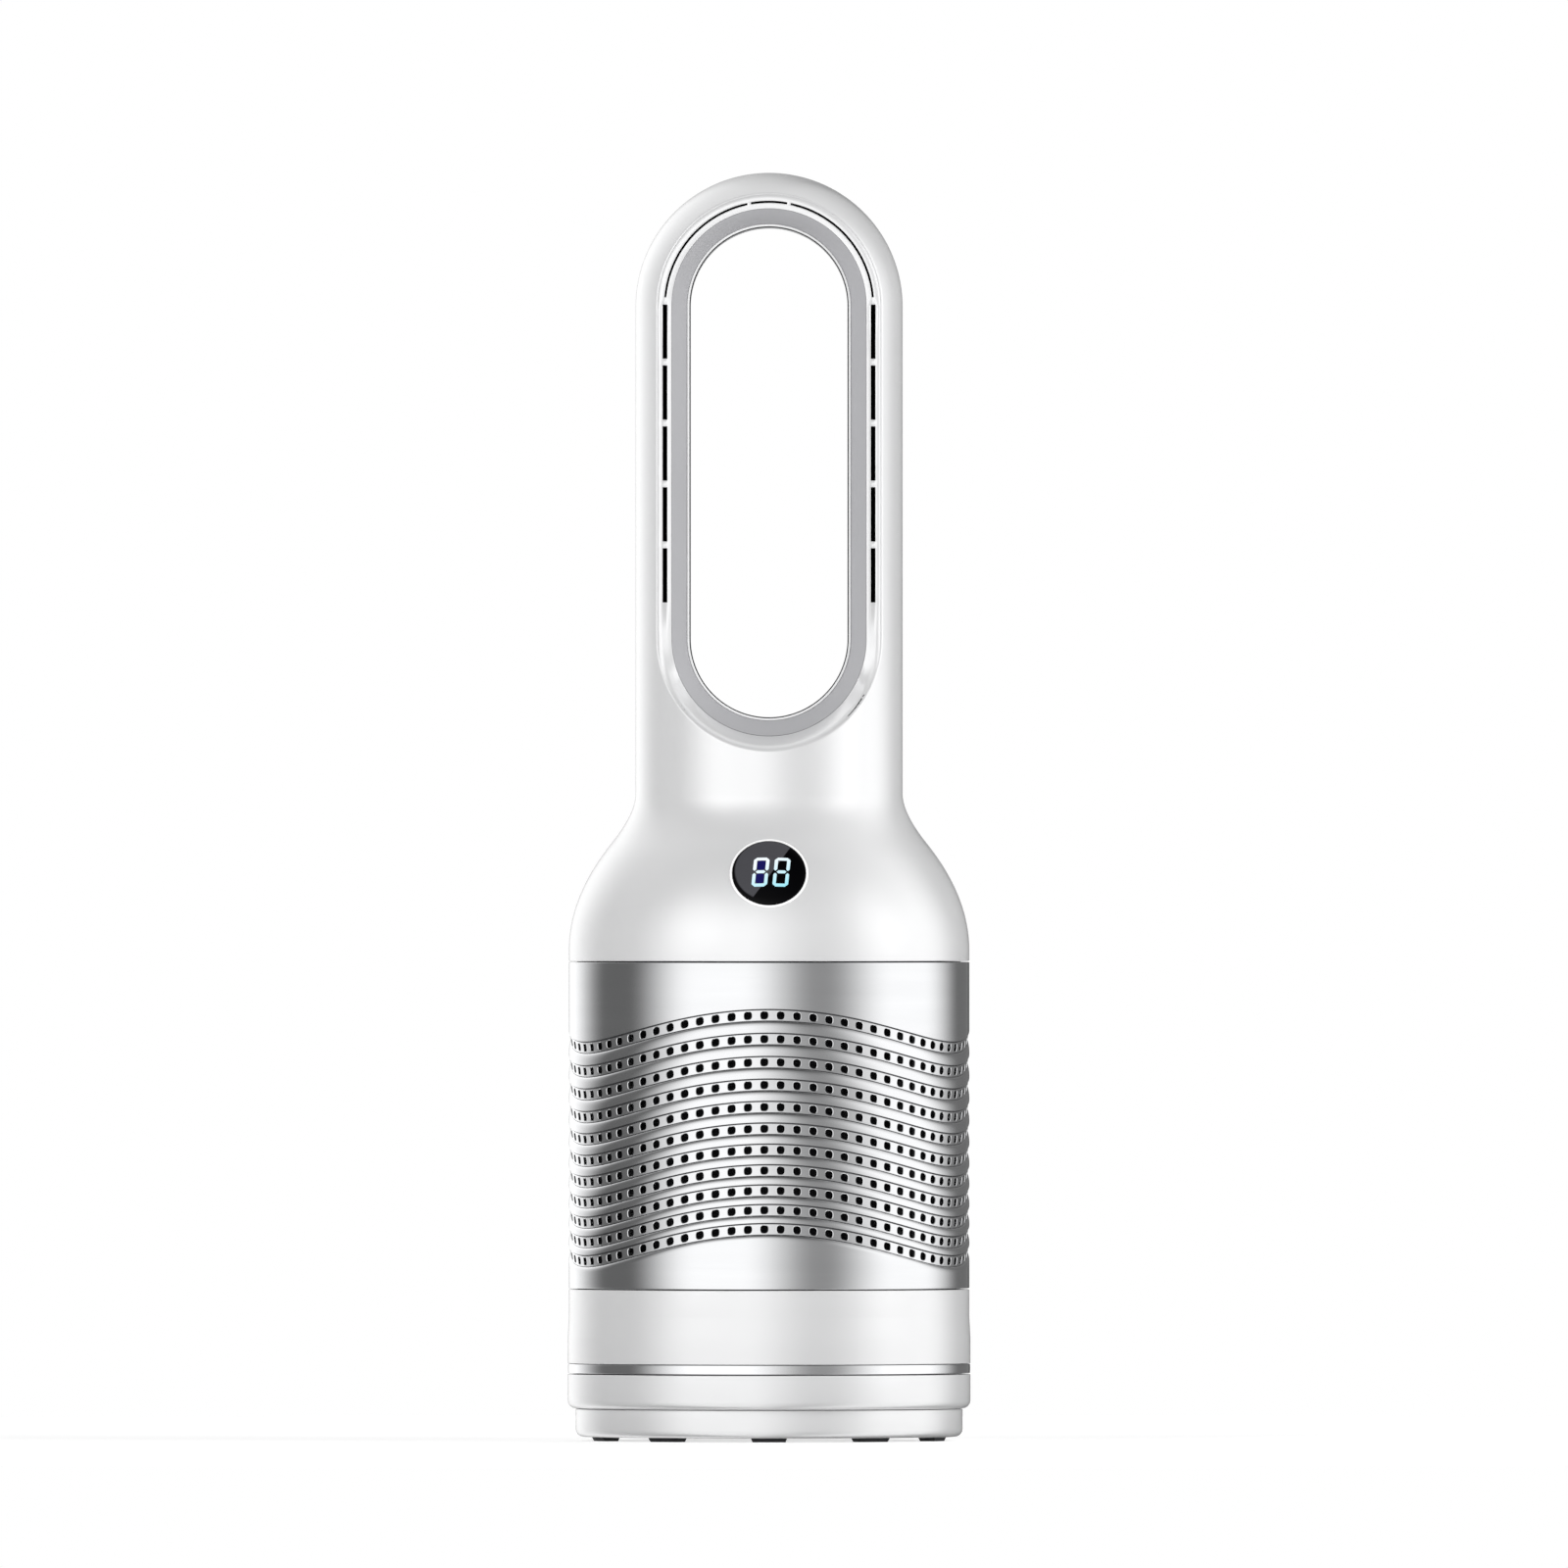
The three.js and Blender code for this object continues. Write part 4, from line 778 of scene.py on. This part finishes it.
# ------------------------------------------------------------------ Drum
class FAN_OT_drum(bpy.types.Operator):
    """Perforated drum with its wavy rows of holes between swelling lands"""

    bl_idname = "fan.drum"
    bl_label = "Perforated drum"

    # From the head of one hole band down to the next: (drop, depth under the drum's radius), in mm.
    lip = ((0, 0), (0.05, 0.3), (0.6, 0.62), (0.8, 0.5))
    land = (
        (6.2, 1.12), (6.5, 1.25), (6.75, 0.9), (7.5, 0.5),
        (8.4, 0.24), (9.4, 0.06), (10.4, 0), (11, 0),
    )
    hole_drop = 3.4 * MM
    hole_points = 16
    cell_columns = 4
    first_turn = math.radians(-1.4)
    rounding = 0.4 * MM  # of the drum's ends
    turned_in = 3 * MM

    def cell(self, drum, pitch):
        """One hole with its share of the band and the land; x and y along the skin, z the depth."""
        bm = bmesh.new()
        half, first, last = pitch / 2, self.lip[-1], self.land[0]
        hole = -self.hole_drop
        size = (drum.hole_width / 2, drum.hole_height / 2)

        def ring(grow, z_of):
            corner = drum.hole_corner + grow
            points = []
            for k in range(self.hole_points):
                quarter, step = divmod(k, 4)
                turn = math.pi / 2 * (quarter + step / 3)
                sx, sy = ((1, 1), (-1, 1), (-1, -1), (1, -1))[quarter]
                cx, cy = size[0] + grow - corner, size[1] + grow - corner
                x = sx * cx + corner * math.cos(turn)
                y = hole + sy * cy + corner * math.sin(turn)
                points.append(bm.verts.new((x, y, z_of(y))))
            return points

        def band_depth(y):
            share = (-y / MM - first[0]) / (last[0] - first[0])
            return -(first[1] + (last[1] - first[1]) * share) * MM

        top, foot = -first[0] * MM, -last[0] * MM
        frame_points = self.frame_points(half, top, foot, hole)
        rings = [
            [bm.verts.new((x, y, band_depth(y))) for x, y in frame_points],
            ring(0.28 * MM, band_depth),
            ring(0.0, lambda y: band_depth(y) - 0.22 * MM),
            ring(0.0, lambda y: band_depth(y) - 1.6 * MM),
        ]
        for outer, inner in zip(rings, rings[1:]):
            for k in range(self.hole_points):
                n = (k + 1) % self.hole_points
                bm.faces.new((outer[k], outer[n], inner[n], inner[k]))
        # The lip's faces take the second material, painted shade along the top of each hole band.
        for strip, painted_shade_row in ((self.lip, 1), (self.land, 0)):
            grid = laid_grid(
                bm,
                self.cell_columns,
                len(strip) - 1,
                lambda i, j: Vector((-half + half * i / 2, -strip[j][0] * MM, -strip[j][1] * MM)),
            )
            for i in range(self.cell_columns + 1):
                for face in grid[i, painted_shade_row].link_faces:
                    face.material_index = 1
        bmesh.ops.remove_doubles(bm, verts=bm.verts, dist=WELD)
        mesh = bpy.data.meshes.new("drum_cell")
        bm.to_mesh(mesh)
        bm.free()
        return mesh

    @staticmethod
    def frame_points(half, top, foot, hole):
        """Sixteen points round the cell's frame, in step with the hole's own sixteen."""
        third_top, third_foot = (top - hole) / 2, (foot - hole) / 2
        right = [(half, hole + third_top), (half, top), (half / 2, top), (0.0, top)]
        left = [(-half / 2, top), (-half, top), (-half, hole + third_top), (-half, hole)]
        back = [(-half, hole + third_foot), (-half, foot), (-half / 2, foot), (0.0, foot)]
        close = [(half / 2, foot), (half, foot), (half, hole + third_foot), (half, hole)]
        return right + left + back + close

    def execute(self, context):
        sizes, drum = context.scene.fan_body, context.scene.fan_drum
        radius = sizes.body_radius
        turn_pitch = 2 * math.pi / drum.holes
        cell = self.cell(drum, radius * turn_pitch)
        band_foot, land_foot = -self.land[0][0] * MM, -self.land[-1][0] * MM
        spans = drum.rows - 1
        change = (drum.last_pitch - drum.first_pitch) / spans
        pitches = [drum.first_pitch + change * row for row in range(drum.rows)]
        column = bmesh.new()
        for row in range(drum.rows):
            column.verts.ensure_lookup_table()
            before = len(column.verts)
            column.from_mesh(cell)
            column.verts.ensure_lookup_table()
            stretch = (pitches[row] + band_foot) / (land_foot - band_foot)
            for corner in column.verts[before:]:
                if corner.co.y < band_foot:
                    corner.co.y = band_foot + (corner.co.y - band_foot) * -stretch
                corner.co.y -= sum(pitches[:row])
        bmesh.ops.remove_doubles(column, verts=column.verts, dist=WELD)
        strip = bpy.data.meshes.new("drum_column")
        column.to_mesh(strip)
        column.free()
        head = drum.first_row + self.hole_drop

        def rise(turn):
            return (
                drum.second_wave * math.cos(2 * turn)
                + drum.third_wave * math.cos(3 * turn)
                + drum.fourth_wave * math.cos(4 * turn)
            )

        def on_drum(turn, z, depth):
            r = radius + depth
            return Vector((r * math.sin(turn), -r * math.cos(turn), z))

        bm = bmesh.new()
        for n in range(drum.holes):
            before = len(bm.verts)
            bm.from_mesh(strip)
            bm.verts.ensure_lookup_table()
            for corner in bm.verts[before:]:
                x, y, depth = corner.co
                turn = self.first_turn + n * turn_pitch + x / radius
                corner.co = on_drum(turn, head + rise(turn) + y, depth)

        def end_strip(end, start_drop, toward):
            """The plain part between the rows and one end of the drum, with its turned-in edge."""
            rows = (0.0, 0.35, 0.7, 1.0)
            round_steps = 3
            edge = end - toward * self.rounding

            def place(i, j):
                turn = self.first_turn + (i / self.cell_columns - 0.5) * turn_pitch
                start = head + rise(turn) - start_drop
                if j < len(rows):
                    return on_drum(turn, start + (edge - start) * rows[j], 0)
                step = j - len(rows) + 1
                if step > round_steps:
                    return on_drum(turn, end, -self.turned_in)
                arc = math.pi / 2 * step / round_steps
                z = end - toward * self.rounding * (1 - math.sin(arc))
                return on_drum(turn, z, -self.rounding * (1 - math.cos(arc)))

            laid_grid(bm, self.cell_columns * drum.holes, len(rows) + round_steps, place)

        end_strip(node_top("drum_grille"), 0.0, 1)
        end_strip(node_foot("drum_grille"), sum(pitches), -1)
        clean(bm, from_axis)
        # The second material is the lip's painted shade.
        materials = [finish_of("drum_metal"), bpy.data.materials["shaded_lip"]]
        make_piece("perforated_drum", bm, "tower", "drum_metal", ["drum_grille"], materials, 32)
        for mesh in (cell, strip):
            bpy.data.meshes.remove(mesh)
        return {"FINISHED"}


# ------------------------------------------------------------------ Display
class FAN_OT_display(bpy.types.Operator):
    """Round black window with its bezel and two lit digits, lying on the shoulder"""

    bl_idname = "fan.display"
    bl_label = "Display"

    disc_steps = 72
    glass_lift = 0.3  # mm off the skin
    slant = 0.09  # of the digits
    digits_place = (1.1 * MM, -0.3 * MM)  # middle of the digits on the window

    def prepare(self, sizes, display):
        outline = shoulder_outline(sizes)
        z = display.centre
        step = 0.5 * MM
        slope = (skin_radius(outline, z + step) - skin_radius(outline, z - step)) / (2 * step)
        self.outline = outline
        self.origin = Vector((0, -skin_radius(outline, z), z))
        self.up = Vector((0, -slope, 1)).normalized()
        self.out = Vector((0, -1, -slope)).normalized()

    def on_skin(self, x, y, lift):
        """The place on the shoulder under (x, y) of the window's own plane, lifted off the skin."""
        start = self.origin + Vector((x, 0, 0)) + self.up * y
        low, high = -14 * MM, 6 * MM
        for _ in range(30):
            middle = (low + high) / 2
            point = start + self.out * middle
            if math.hypot(point.x, point.y) < skin_radius(self.outline, point.z):
                low = middle
            else:
                high = middle
        return start + self.out * (low + lift)

    def disc(self, profile):
        """A ring of (radius, lift) corners in mm, laid on the skin."""
        bm = bmesh.new()

        def place(i, j):
            turn = 2 * math.pi * i / self.disc_steps
            radius, lift = profile[j]
            radius *= MM
            return self.on_skin(radius * math.cos(turn), radius * math.sin(turn), lift * MM)

        laid_grid(bm, self.disc_steps, len(profile) - 1, place)
        clean(bm, lambda point: self.out)
        return bm

    def bar(self, bm, x, y, length, stroke, upright, lift):
        """One lit bar with pointed ends, leaning with the digit."""
        half, thin = length / 2, stroke / 2
        end = half - thin
        corners = []
        for u, v in ((-half, 0), (-end, thin), (end, thin), (half, 0), (end, -thin), (-end, -thin)):
            a, b = (v, u) if upright else (u, v)
            corners.append((x + a + (y + b) * self.slant, y + b))
        base = [bm.verts.new(self.on_skin(a, b, lift - 0.25 * MM)) for a, b in corners]
        face = bm.faces.new(base)
        lifted = bmesh.ops.extrude_face_region(bm, geom=[face])["geom"]
        raised = [v for v in lifted if isinstance(v, bmesh.types.BMVert)]
        bmesh.ops.translate(bm, verts=raised, vec=self.out * 0.3 * MM)

    def digits(self, display):
        """Two slanting eights of lit bars, with a blue ground behind the left one."""
        lit, glow = bmesh.new(), bmesh.new()
        stroke = display.stroke
        shift, drop = self.digits_place
        reach_x, reach_y = (display.digit_width - stroke) / 2, (display.digit_height - stroke) / 2
        overlap = stroke * 0.15
        tall_bar = reach_y + overlap - display.break_up / 2
        for side in (-1, 1):
            x = shift + side * display.spacing / 2
            for y in (-reach_y, 0, reach_y):
                across = 2 * reach_x + (overlap if y else -0.75 * stroke)
                self.bar(lit, x, drop + y, across, stroke, False, 0.36 * MM)
            for sx in (-1, 1):
                for sy in (-1, 1):
                    y = drop + sy * (reach_y + overlap - tall_bar / 2)
                    self.bar(lit, x + sx * reach_x, y, tall_bar, stroke, True, 0.36 * MM)
        x = shift - display.spacing / 2
        for y in (-reach_y / 2, reach_y / 2):
            self.bar(glow, x, drop + y, reach_y * 1.05, reach_x * 1.35, True, 0.3 * MM)
        for bm in (lit, glow):
            bmesh.ops.recalc_face_normals(bm, faces=bm.faces)
        make_piece("lit_digits", lit, "tower", "lit_digits", crease=30)
        ground = [bpy.data.materials["blue_glow"]]
        make_piece("digit_glow", glow, "tower", "lit_digits", (), ground, 30)

    def execute(self, context):
        sizes, display = context.scene.fan_body, context.scene.fan_display
        self.prepare(sizes, display)
        edge, wide = display.radius / MM, display.bezel / MM
        flat = [(r, self.glass_lift) for r in (0, 4, 8, 12, 16)]
        rounding = [(edge - 0.45, 0.28), (edge - 0.15, 0.18), (edge, 0.0), (edge, -1.2)]
        bm = self.disc(flat + rounding)
        make_piece("round_window", bm, "tower", "black_window", ["display_window"])
        edge += 0.08
        ring = [
            (edge, -1.2),
            (edge, 0.2),
            (edge + 0.2, 0.36),
            (edge + wide * 0.5, 0.38),
            (edge + wide * 0.8, 0.3),
            (edge + wide, 0.08),
            (edge + wide + 0.05, -0.8),
        ]
        # The bezel takes the finish with the painted glow.
        bm, painted_glow = self.disc(ring), [bpy.data.materials["halo_white"]]
        make_piece("window_bezel", bm, "tower", "white_plastic", ["display_bezel"], painted_glow)
        self.digits(display)
        return {"FINISHED"}


# ------------------------------------------------------------------ Round covers and foot pads
TURN_STEPS = 160


SOCKET = (10.3 * MM, 20.6 * MM, 29.2 * MM)  # half width, foot and head of the inlet's window
SOCKET_FRONT = 90 * MM  # the wall that it goes through lies behind this
HUB = 22.3 * MM
COVER_WALL = 3 * MM


def back_window(bm, half, low, high):
    """Opens a window with closed sides through the wall at the back."""
    near = []
    for face in bm.faces:
        middle = face.calc_center_median()
        if middle.y > SOCKET_FRONT and abs(middle.x) < 3 * half:
            near.append(face)
    for point, normal in (
        ((-half, 0, 0), (1, 0, 0)),
        ((half, 0, 0), (1, 0, 0)),
        ((0, 0, low), (0, 0, 1)),
        ((0, 0, high), (0, 0, 1)),
    ):
        verts = {vert for face in near for vert in face.verts}
        edges = {edge for face in near for edge in face.edges}
        geom = [*verts, *edges, *near]
        cut = bmesh.ops.bisect_plane(bm, geom=geom, dist=1e-7, plane_co=point, plane_no=normal)
        near = [part for part in cut["geom"] if isinstance(part, bmesh.types.BMFace)]
    gone = []
    for face in near:
        middle = face.calc_center_median()
        if abs(middle.x) < half and low < middle.z < high:
            gone.append(face)
    bmesh.ops.delete(bm, geom=gone, context="FACES")
    bmesh.ops.bridge_loops(bm, edges=[edge for edge in bm.edges if edge.is_boundary])


class FAN_OT_round_covers(bpy.types.Operator):
    """Lower housing, chrome ring, skirt and foot plate"""

    bl_idname = "fan.round_covers"
    bl_label = "Round covers"

    def cover(self, name, body, slot, node, corners, opening=None):
        """Turns (radius, height, rounding) corners into a piece."""
        bm = bmesh.new()
        turned(bm, rounded([*corners, corners[0]]), TURN_STEPS)
        clean(bm)
        if opening:
            back_window(bm, *opening)
        make_piece(name, bm, body, slot, [node])

    def execute(self, context):
        body = context.scene.fan_body.body_radius
        wide, wall = body + 0.6 * MM, COVER_WALL
        rim, top = body - 12 * MM, node_top("lower_housing")
        low, high = node_foot("chrome_ring"), node_top("chrome_ring")
        floor = high + 0.3 * MM
        self.cover("lower_cover", "tower", "white_plastic", "lower_housing", [
            (rim, floor, 0),
            (wide, floor, 0.35 * MM),
            (wide, floor + 14 * MM, 30 * MM),
            (body, floor + 25 * MM, 30 * MM),
            (body, top, 0.4 * MM),
            (rim, top, 0),
            (rim, top - wall, 0),
            (body - wall, top - wall, 0),
            (body - wall, floor + wall, 0),
            (rim, floor + wall, 0),
        ])
        self.cover("bright_ring", "tower", "chrome", "chrome_ring", [
            (wide - 4 * MM, low, 0),
            (wide - 0.25 * MM, low, 0.3 * MM),
            (wide - 0.1 * MM, (low + high) / 2, 20 * MM),
            (wide - 0.25 * MM, high, 0.3 * MM),
            (wide - 4 * MM, high, 0),
        ])
        low, high = node_foot("base_cover"), node_top("base_cover")
        rim, foot, top, deck = wide - 8.5 * MM, low + 2.4 * MM, high - 3 * MM, high - 5.6 * MM
        self.cover("skirt", "base", "white_plastic", "base_cover", [
            (rim, low, 0),
            (wide, low, 4.3 * MM),
            (wide, high, 0.45 * MM),
            (wide - wall, high, 0),
            (wide - wall, top, 0),
            (HUB, top, 0),
            (HUB, deck, 0),
            (wide - wall, deck, 0),
            (wide - wall, foot, 0),
            (rim, foot, 0),
        ], SOCKET)
        edge, middle = wide - 4.2 * MM, 1 * MM
        low, high = 2.1 * MM, 17 * MM
        self.cover("foot_cover", "base", "white_plastic", "foot_plate", [
            (middle, low, 0),
            (edge, low, 4.2 * MM),
            (edge, high, 0.3 * MM),
            (edge - wall, high, 0),
            (edge - wall, low + wall, 0),
            (middle, low + wall, 0),
        ])
        return {"FINISHED"}


class FAN_OT_foot_pads(bpy.types.Operator):
    """Ten rubber pads on a ring under the foot plate"""

    bl_idname = "fan.foot_pads"
    bl_label = "Foot pads"

    pads = 10
    end_taper = 0.08

    def execute(self, context):
        inner, outer, edge = 87.2 * MM, 97 * MM, 0.8 * MM
        head, waist, sole = 3 * MM, 2 * MM, 0.02 * MM
        section = rounded([
            (inner, head, 0),
            (inner, waist, 0),
            (inner + edge, sole, 0.4 * MM),
            (outer - edge, sole, 0.4 * MM),
            (outer, waist, 0),
            (outer, head, 0),
            (inner, head, 0),
        ])
        half = math.radians(5.7)
        for n in range(self.pads):
            middle = -math.pi / 2 + n * 2 * math.pi / self.pads
            bm = bmesh.new()
            turned(bm, section, 10, middle - half, 2 * half)
            bmesh.ops.remove_doubles(bm, verts=bm.verts, dist=WELD)
            bmesh.ops.holes_fill(bm, edges=[e for e in bm.edges if e.is_boundary], sides=0)
            bmesh.ops.recalc_face_normals(bm, faces=bm.faces)
            along = Vector((-math.sin(middle), math.cos(middle), 0))
            for corner in bm.verts:
                taper = max(0.0, 1 - corner.co.z / waist)
                corner.co -= along * corner.co.dot(along) * self.end_taper * taper
            make_piece(f"rubber_pad_{n + 1}", bm, "base", "rubber", [f"foot_pad_{n + 1}"])
        return {"FINISHED"}


class FAN_OT_inner_pieces(bpy.types.Operator):
    """Finishes of the pieces inside, which keep their own shapes"""

    bl_idname = "fan.inner_pieces"
    bl_label = "Inner pieces"

    def execute(self, context):
        slots = {part["node"]: part["material_slot"] for part in frame["record"]["subparts"]}
        for name, node in frame["nodes"].items():
            for holder in node.material_slots:
                holder.material = finish_of(slots[name])
        return {"FINISHED"}


# ------------------------------------------------------------------ Studio
def level(name, description, value):
    return FloatProperty(name=name, description=description, default=value)


class FanStudio(bpy.types.PropertyGroup):
    view_width: length("View width", "What the picture takes in at the fan", 840)
    view_height: length("View height", "Height of the middle of the picture", 351.75)
    view_shift: length("View offset", "How far right of the fan the picture's middle lies", 8)
    distance: length("Distance", "From the fan to the camera", 34000)
    ambient: level("Ambient", "Even light from all round", 0.86)
    key: level("Left light", "Power of the light at the left, in watts", 27)
    side: level("Right light", "Power of the light at the right, in watts", 22)


SOFTBOX = 1.32  # level of the white tent round the fan, as its glossy faces see it
OVERHEAD = (0.08, 0.75)  # levels above the fan, in front of it and behind it
# Dark flags hung in the tent, as (degrees right of the camera, depth, inner and outer half width).
FLAGS = ((-99, 1.17, 10, 56), (30, 0.98, 2, 46), (149, 1.15, 8, 48), (180, 0.45, 7, 19))
TENT_TOP = (0.25, 1.0)  # rise over which the tent gives way to the overhead level
OVERHEAD_SPAN = (-0.3, 0.5)  # from in front of the fan to behind it
EVEN_FALL = -0.95  # change of the even light from the horizon to straight up or down
# Lamps as (name, place, size, which power, share of it); they light, and don't show in reflections.
LAMPS = (
    ("left_softbox", (-1.5, -1.6, 1.1), (1.2, 1.6), "key", 1),
    ("right_softbox", (1.8, -0.7, 0.9), (0.9, 1.6), "side", 1),
    ("back_softbox", (0.4, 2.0, 1.2), (1.4, 1.2), "side", 0.8),
)
LAMP_AIM = Vector((0, 0, 0.35))
FLOOR_RADIUS = 1.3
FLOOR_GLOW = 0.57


def studio_world(studio):
    """White for the camera, softboxes and flags for reflections, and an even light for the rest."""
    world = bpy.data.worlds.new("studio")
    world.use_nodes = True
    tree = world.node_tree
    nodes, links = tree.nodes, tree.links
    background = nodes["Background"]
    place = nodes.new("ShaderNodeTexCoord").outputs["Generated"]
    split = nodes.new("ShaderNodeSeparateXYZ")
    links.new(place, split.inputs[0])

    def math_node(operation, *values):
        node = nodes.new("ShaderNodeMath")
        node.operation = operation
        for n, value in enumerate(values):
            if isinstance(value, (int, float)):
                node.inputs[n].default_value = value
            else:
                links.new(value, node.inputs[n])
        return node.outputs[0]

    def ramp(value, start, end, low, high, kind="SMOOTHSTEP"):
        node = nodes.new("ShaderNodeMapRange")
        node.interpolation_type = kind
        sockets = {"From Min": start, "From Max": end, "To Min": low, "To Max": high}
        for socket, number in sockets.items():
            node.inputs[socket].default_value = number
        links.new(value, node.inputs["Value"])
        return node.outputs[0]

    away = math_node("MULTIPLY", split.outputs["Y"], -1)
    azimuth = math_node("ARCTAN2", split.outputs["X"], away)
    bands = SOFTBOX
    for degrees, depth, inner, outer in FLAGS:
        turn = math_node("SUBTRACT", azimuth, math.radians(degrees))
        aside = math_node("ABSOLUTE", math_node("WRAP", turn, math.pi, -math.pi))
        shade = ramp(aside, math.radians(inner), math.radians(outer), depth, 0.0)
        bands = math_node("SUBTRACT", bands, shade)
    height = ramp(split.outputs["Z"], *TENT_TOP, 0.0, 1.0)
    lower = math_node("MULTIPLY", bands, math_node("SUBTRACT", 1.0, height))
    overhead = ramp(split.outputs["Y"], *OVERHEAD_SPAN, *OVERHEAD, "LINEAR")
    shine = math_node("ADD", math_node("MULTIPLY", height, overhead), lower)
    rays = nodes.new("ShaderNodeLightPath")
    glossy = math_node("MULTIPLY", rays.outputs["Is Glossy Ray"], shine)
    clear = math_node("MAXIMUM", rays.outputs["Is Camera Ray"], rays.outputs["Is Transmission Ray"])
    seen = math_node("MAXIMUM", rays.outputs["Is Glossy Ray"], clear)
    fall = math_node("MULTIPLY_ADD", math_node("ABSOLUTE", split.outputs["Z"]), EVEN_FALL, 1.0)
    even = math_node("MULTIPLY", fall, studio.ambient)
    other = math_node("MULTIPLY", math_node("SUBTRACT", 1.0, seen), even)
    strength = math_node("ADD", math_node("ADD", clear, glossy), other)
    links.new(strength, background.inputs["Strength"])
    background.inputs["Color"].default_value = (1, 1, 1, 1)
    return world


def floor_finish(colours):
    """Diffuse, with a glow that only the camera sees; reflections look through it to the tent."""
    material = bpy.data.materials.new("studio_floor")
    material.use_nodes = True
    tree = material.node_tree
    nodes, links = tree.nodes, tree.links
    nodes.remove(nodes["Principled BSDF"])
    matt = nodes.new("ShaderNodeBsdfDiffuse")
    matt.inputs["Color"].default_value = (*colours.floor, 1)
    glow = nodes.new("ShaderNodeEmission")
    rays = nodes.new("ShaderNodeLightPath")
    scale = nodes.new("ShaderNodeMath")
    scale.operation = "MULTIPLY"
    scale.inputs[1].default_value = FLOOR_GLOW
    links.new(rays.outputs["Is Camera Ray"], scale.inputs[0])
    links.new(scale.outputs[0], glow.inputs["Strength"])
    both = nodes.new("ShaderNodeAddShader")
    links.new(matt.outputs[0], both.inputs[0])
    links.new(glow.outputs[0], both.inputs[1])
    open_floor = nodes.new("ShaderNodeMixShader")
    links.new(rays.outputs["Is Glossy Ray"], open_floor.inputs[0])
    links.new(both.outputs[0], open_floor.inputs[1])
    links.new(nodes.new("ShaderNodeBsdfTransparent").outputs[0], open_floor.inputs[2])
    links.new(open_floor.outputs[0], nodes["Material Output"].inputs["Surface"])
    return material


class FAN_OT_studio(bpy.types.Operator):
    """Floor, lights, surround and camera"""

    bl_idname = "fan.studio"
    bl_label = "Studio"

    def lamp(self, name, place, size, power):
        light = bpy.data.lights.new(name, "AREA")
        light.shape = "RECTANGLE"
        light.size, light.size_y = size
        light.energy = power
        lamp = bpy.data.objects.new(name, light)
        lamp.location = place
        lamp.rotation_euler = (LAMP_AIM - Vector(place)).to_track_quat("-Z", "Y").to_euler()
        lamp.visible_glossy = False
        bpy.context.scene.collection.objects.link(lamp)

    def execute(self, context):
        scene = context.scene
        studio = scene.fan_studio
        scene.view_settings.view_transform = "Standard"
        bm = bmesh.new()
        bmesh.ops.create_circle(bm, cap_ends=True, segments=96, radius=FLOOR_RADIUS)
        mesh = bpy.data.meshes.new("studio_floor")
        bm.to_mesh(mesh)
        bm.free()
        mesh.materials.append(floor_finish(scene.fan_colours))
        floor = bpy.data.objects.new("studio_floor", mesh)
        scene.collection.objects.link(floor)
        scene.world = studio_world(studio)
        for name, place, size, power, share in LAMPS:
            self.lamp(name, place, size, getattr(studio, power) * share)
        camera = bpy.data.cameras.new("front_view")
        camera.lens = camera.sensor_width * studio.distance / studio.view_width
        camera.clip_end = 200
        viewer = bpy.data.objects.new("front_view", camera)
        viewer.location = (studio.view_shift, -studio.distance, studio.view_height)
        viewer.rotation_euler = (math.pi / 2, 0, 0)
        scene.collection.objects.link(viewer)
        scene.camera = viewer
        return {"FINISHED"}


class FAN_OT_finishes(bpy.types.Operator):
    """All the fan's materials"""

    bl_idname = "fan.finishes"
    bl_label = "Finishes"

    def execute(self, context):
        for make in (plain_finishes, smoked_window, lit_digit, blue_glow):
            make(context.scene.fan_colours)
        return {"FINISHED"}


# ------------------------------------------------------------------ Panel and registration
STEPS = (
    FAN_OT_studio, FAN_OT_finishes, FAN_OT_inner_pieces, FAN_OT_front_shell, FAN_OT_rear_shell,
    FAN_OT_nozzle_band, FAN_OT_opening_trim, FAN_OT_drum, FAN_OT_display, FAN_OT_round_covers,
    FAN_OT_foot_pads,
)
GROUPS = {
    "fan_body": FanBodySizes,
    "fan_loop": FanLoopSizes,
    "fan_drum": FanDrumSizes,
    "fan_display": FanDisplaySizes,
    "fan_colours": FanColours,
    "fan_studio": FanStudio,
}


class FAN_PT_panel(bpy.types.Panel):
    """Lists the steps that build the fan"""

    bl_idname = "FAN_PT_panel"
    bl_label = "Bladeless Tower Fan"
    bl_space_type = "VIEW_3D"
    bl_region_type = "UI"
    bl_category = "Fan"

    def draw(self, context):
        for step in STEPS:
            self.layout.operator(step.bl_idname)
        for name, group in GROUPS.items():
            box = self.layout.box()
            for key in group.__annotations__:
                box.prop(getattr(context.scene, name), key)


def register():
    for cls in (*GROUPS.values(), *STEPS, FAN_PT_panel):
        bpy.utils.register_class(cls)
    for name, group in GROUPS.items():
        setattr(bpy.types.Scene, name, PointerProperty(type=group))


def unregister():
    for name in GROUPS:
        delattr(bpy.types.Scene, name)
    for cls in reversed((*GROUPS.values(), *STEPS, FAN_PT_panel)):
        bpy.utils.unregister_class(cls)


def main():
    register()
    for step in STEPS:
        group, name = step.bl_idname.split(".")
        getattr(getattr(bpy.ops, group), name)()


if __name__ == "__main__":
    main()
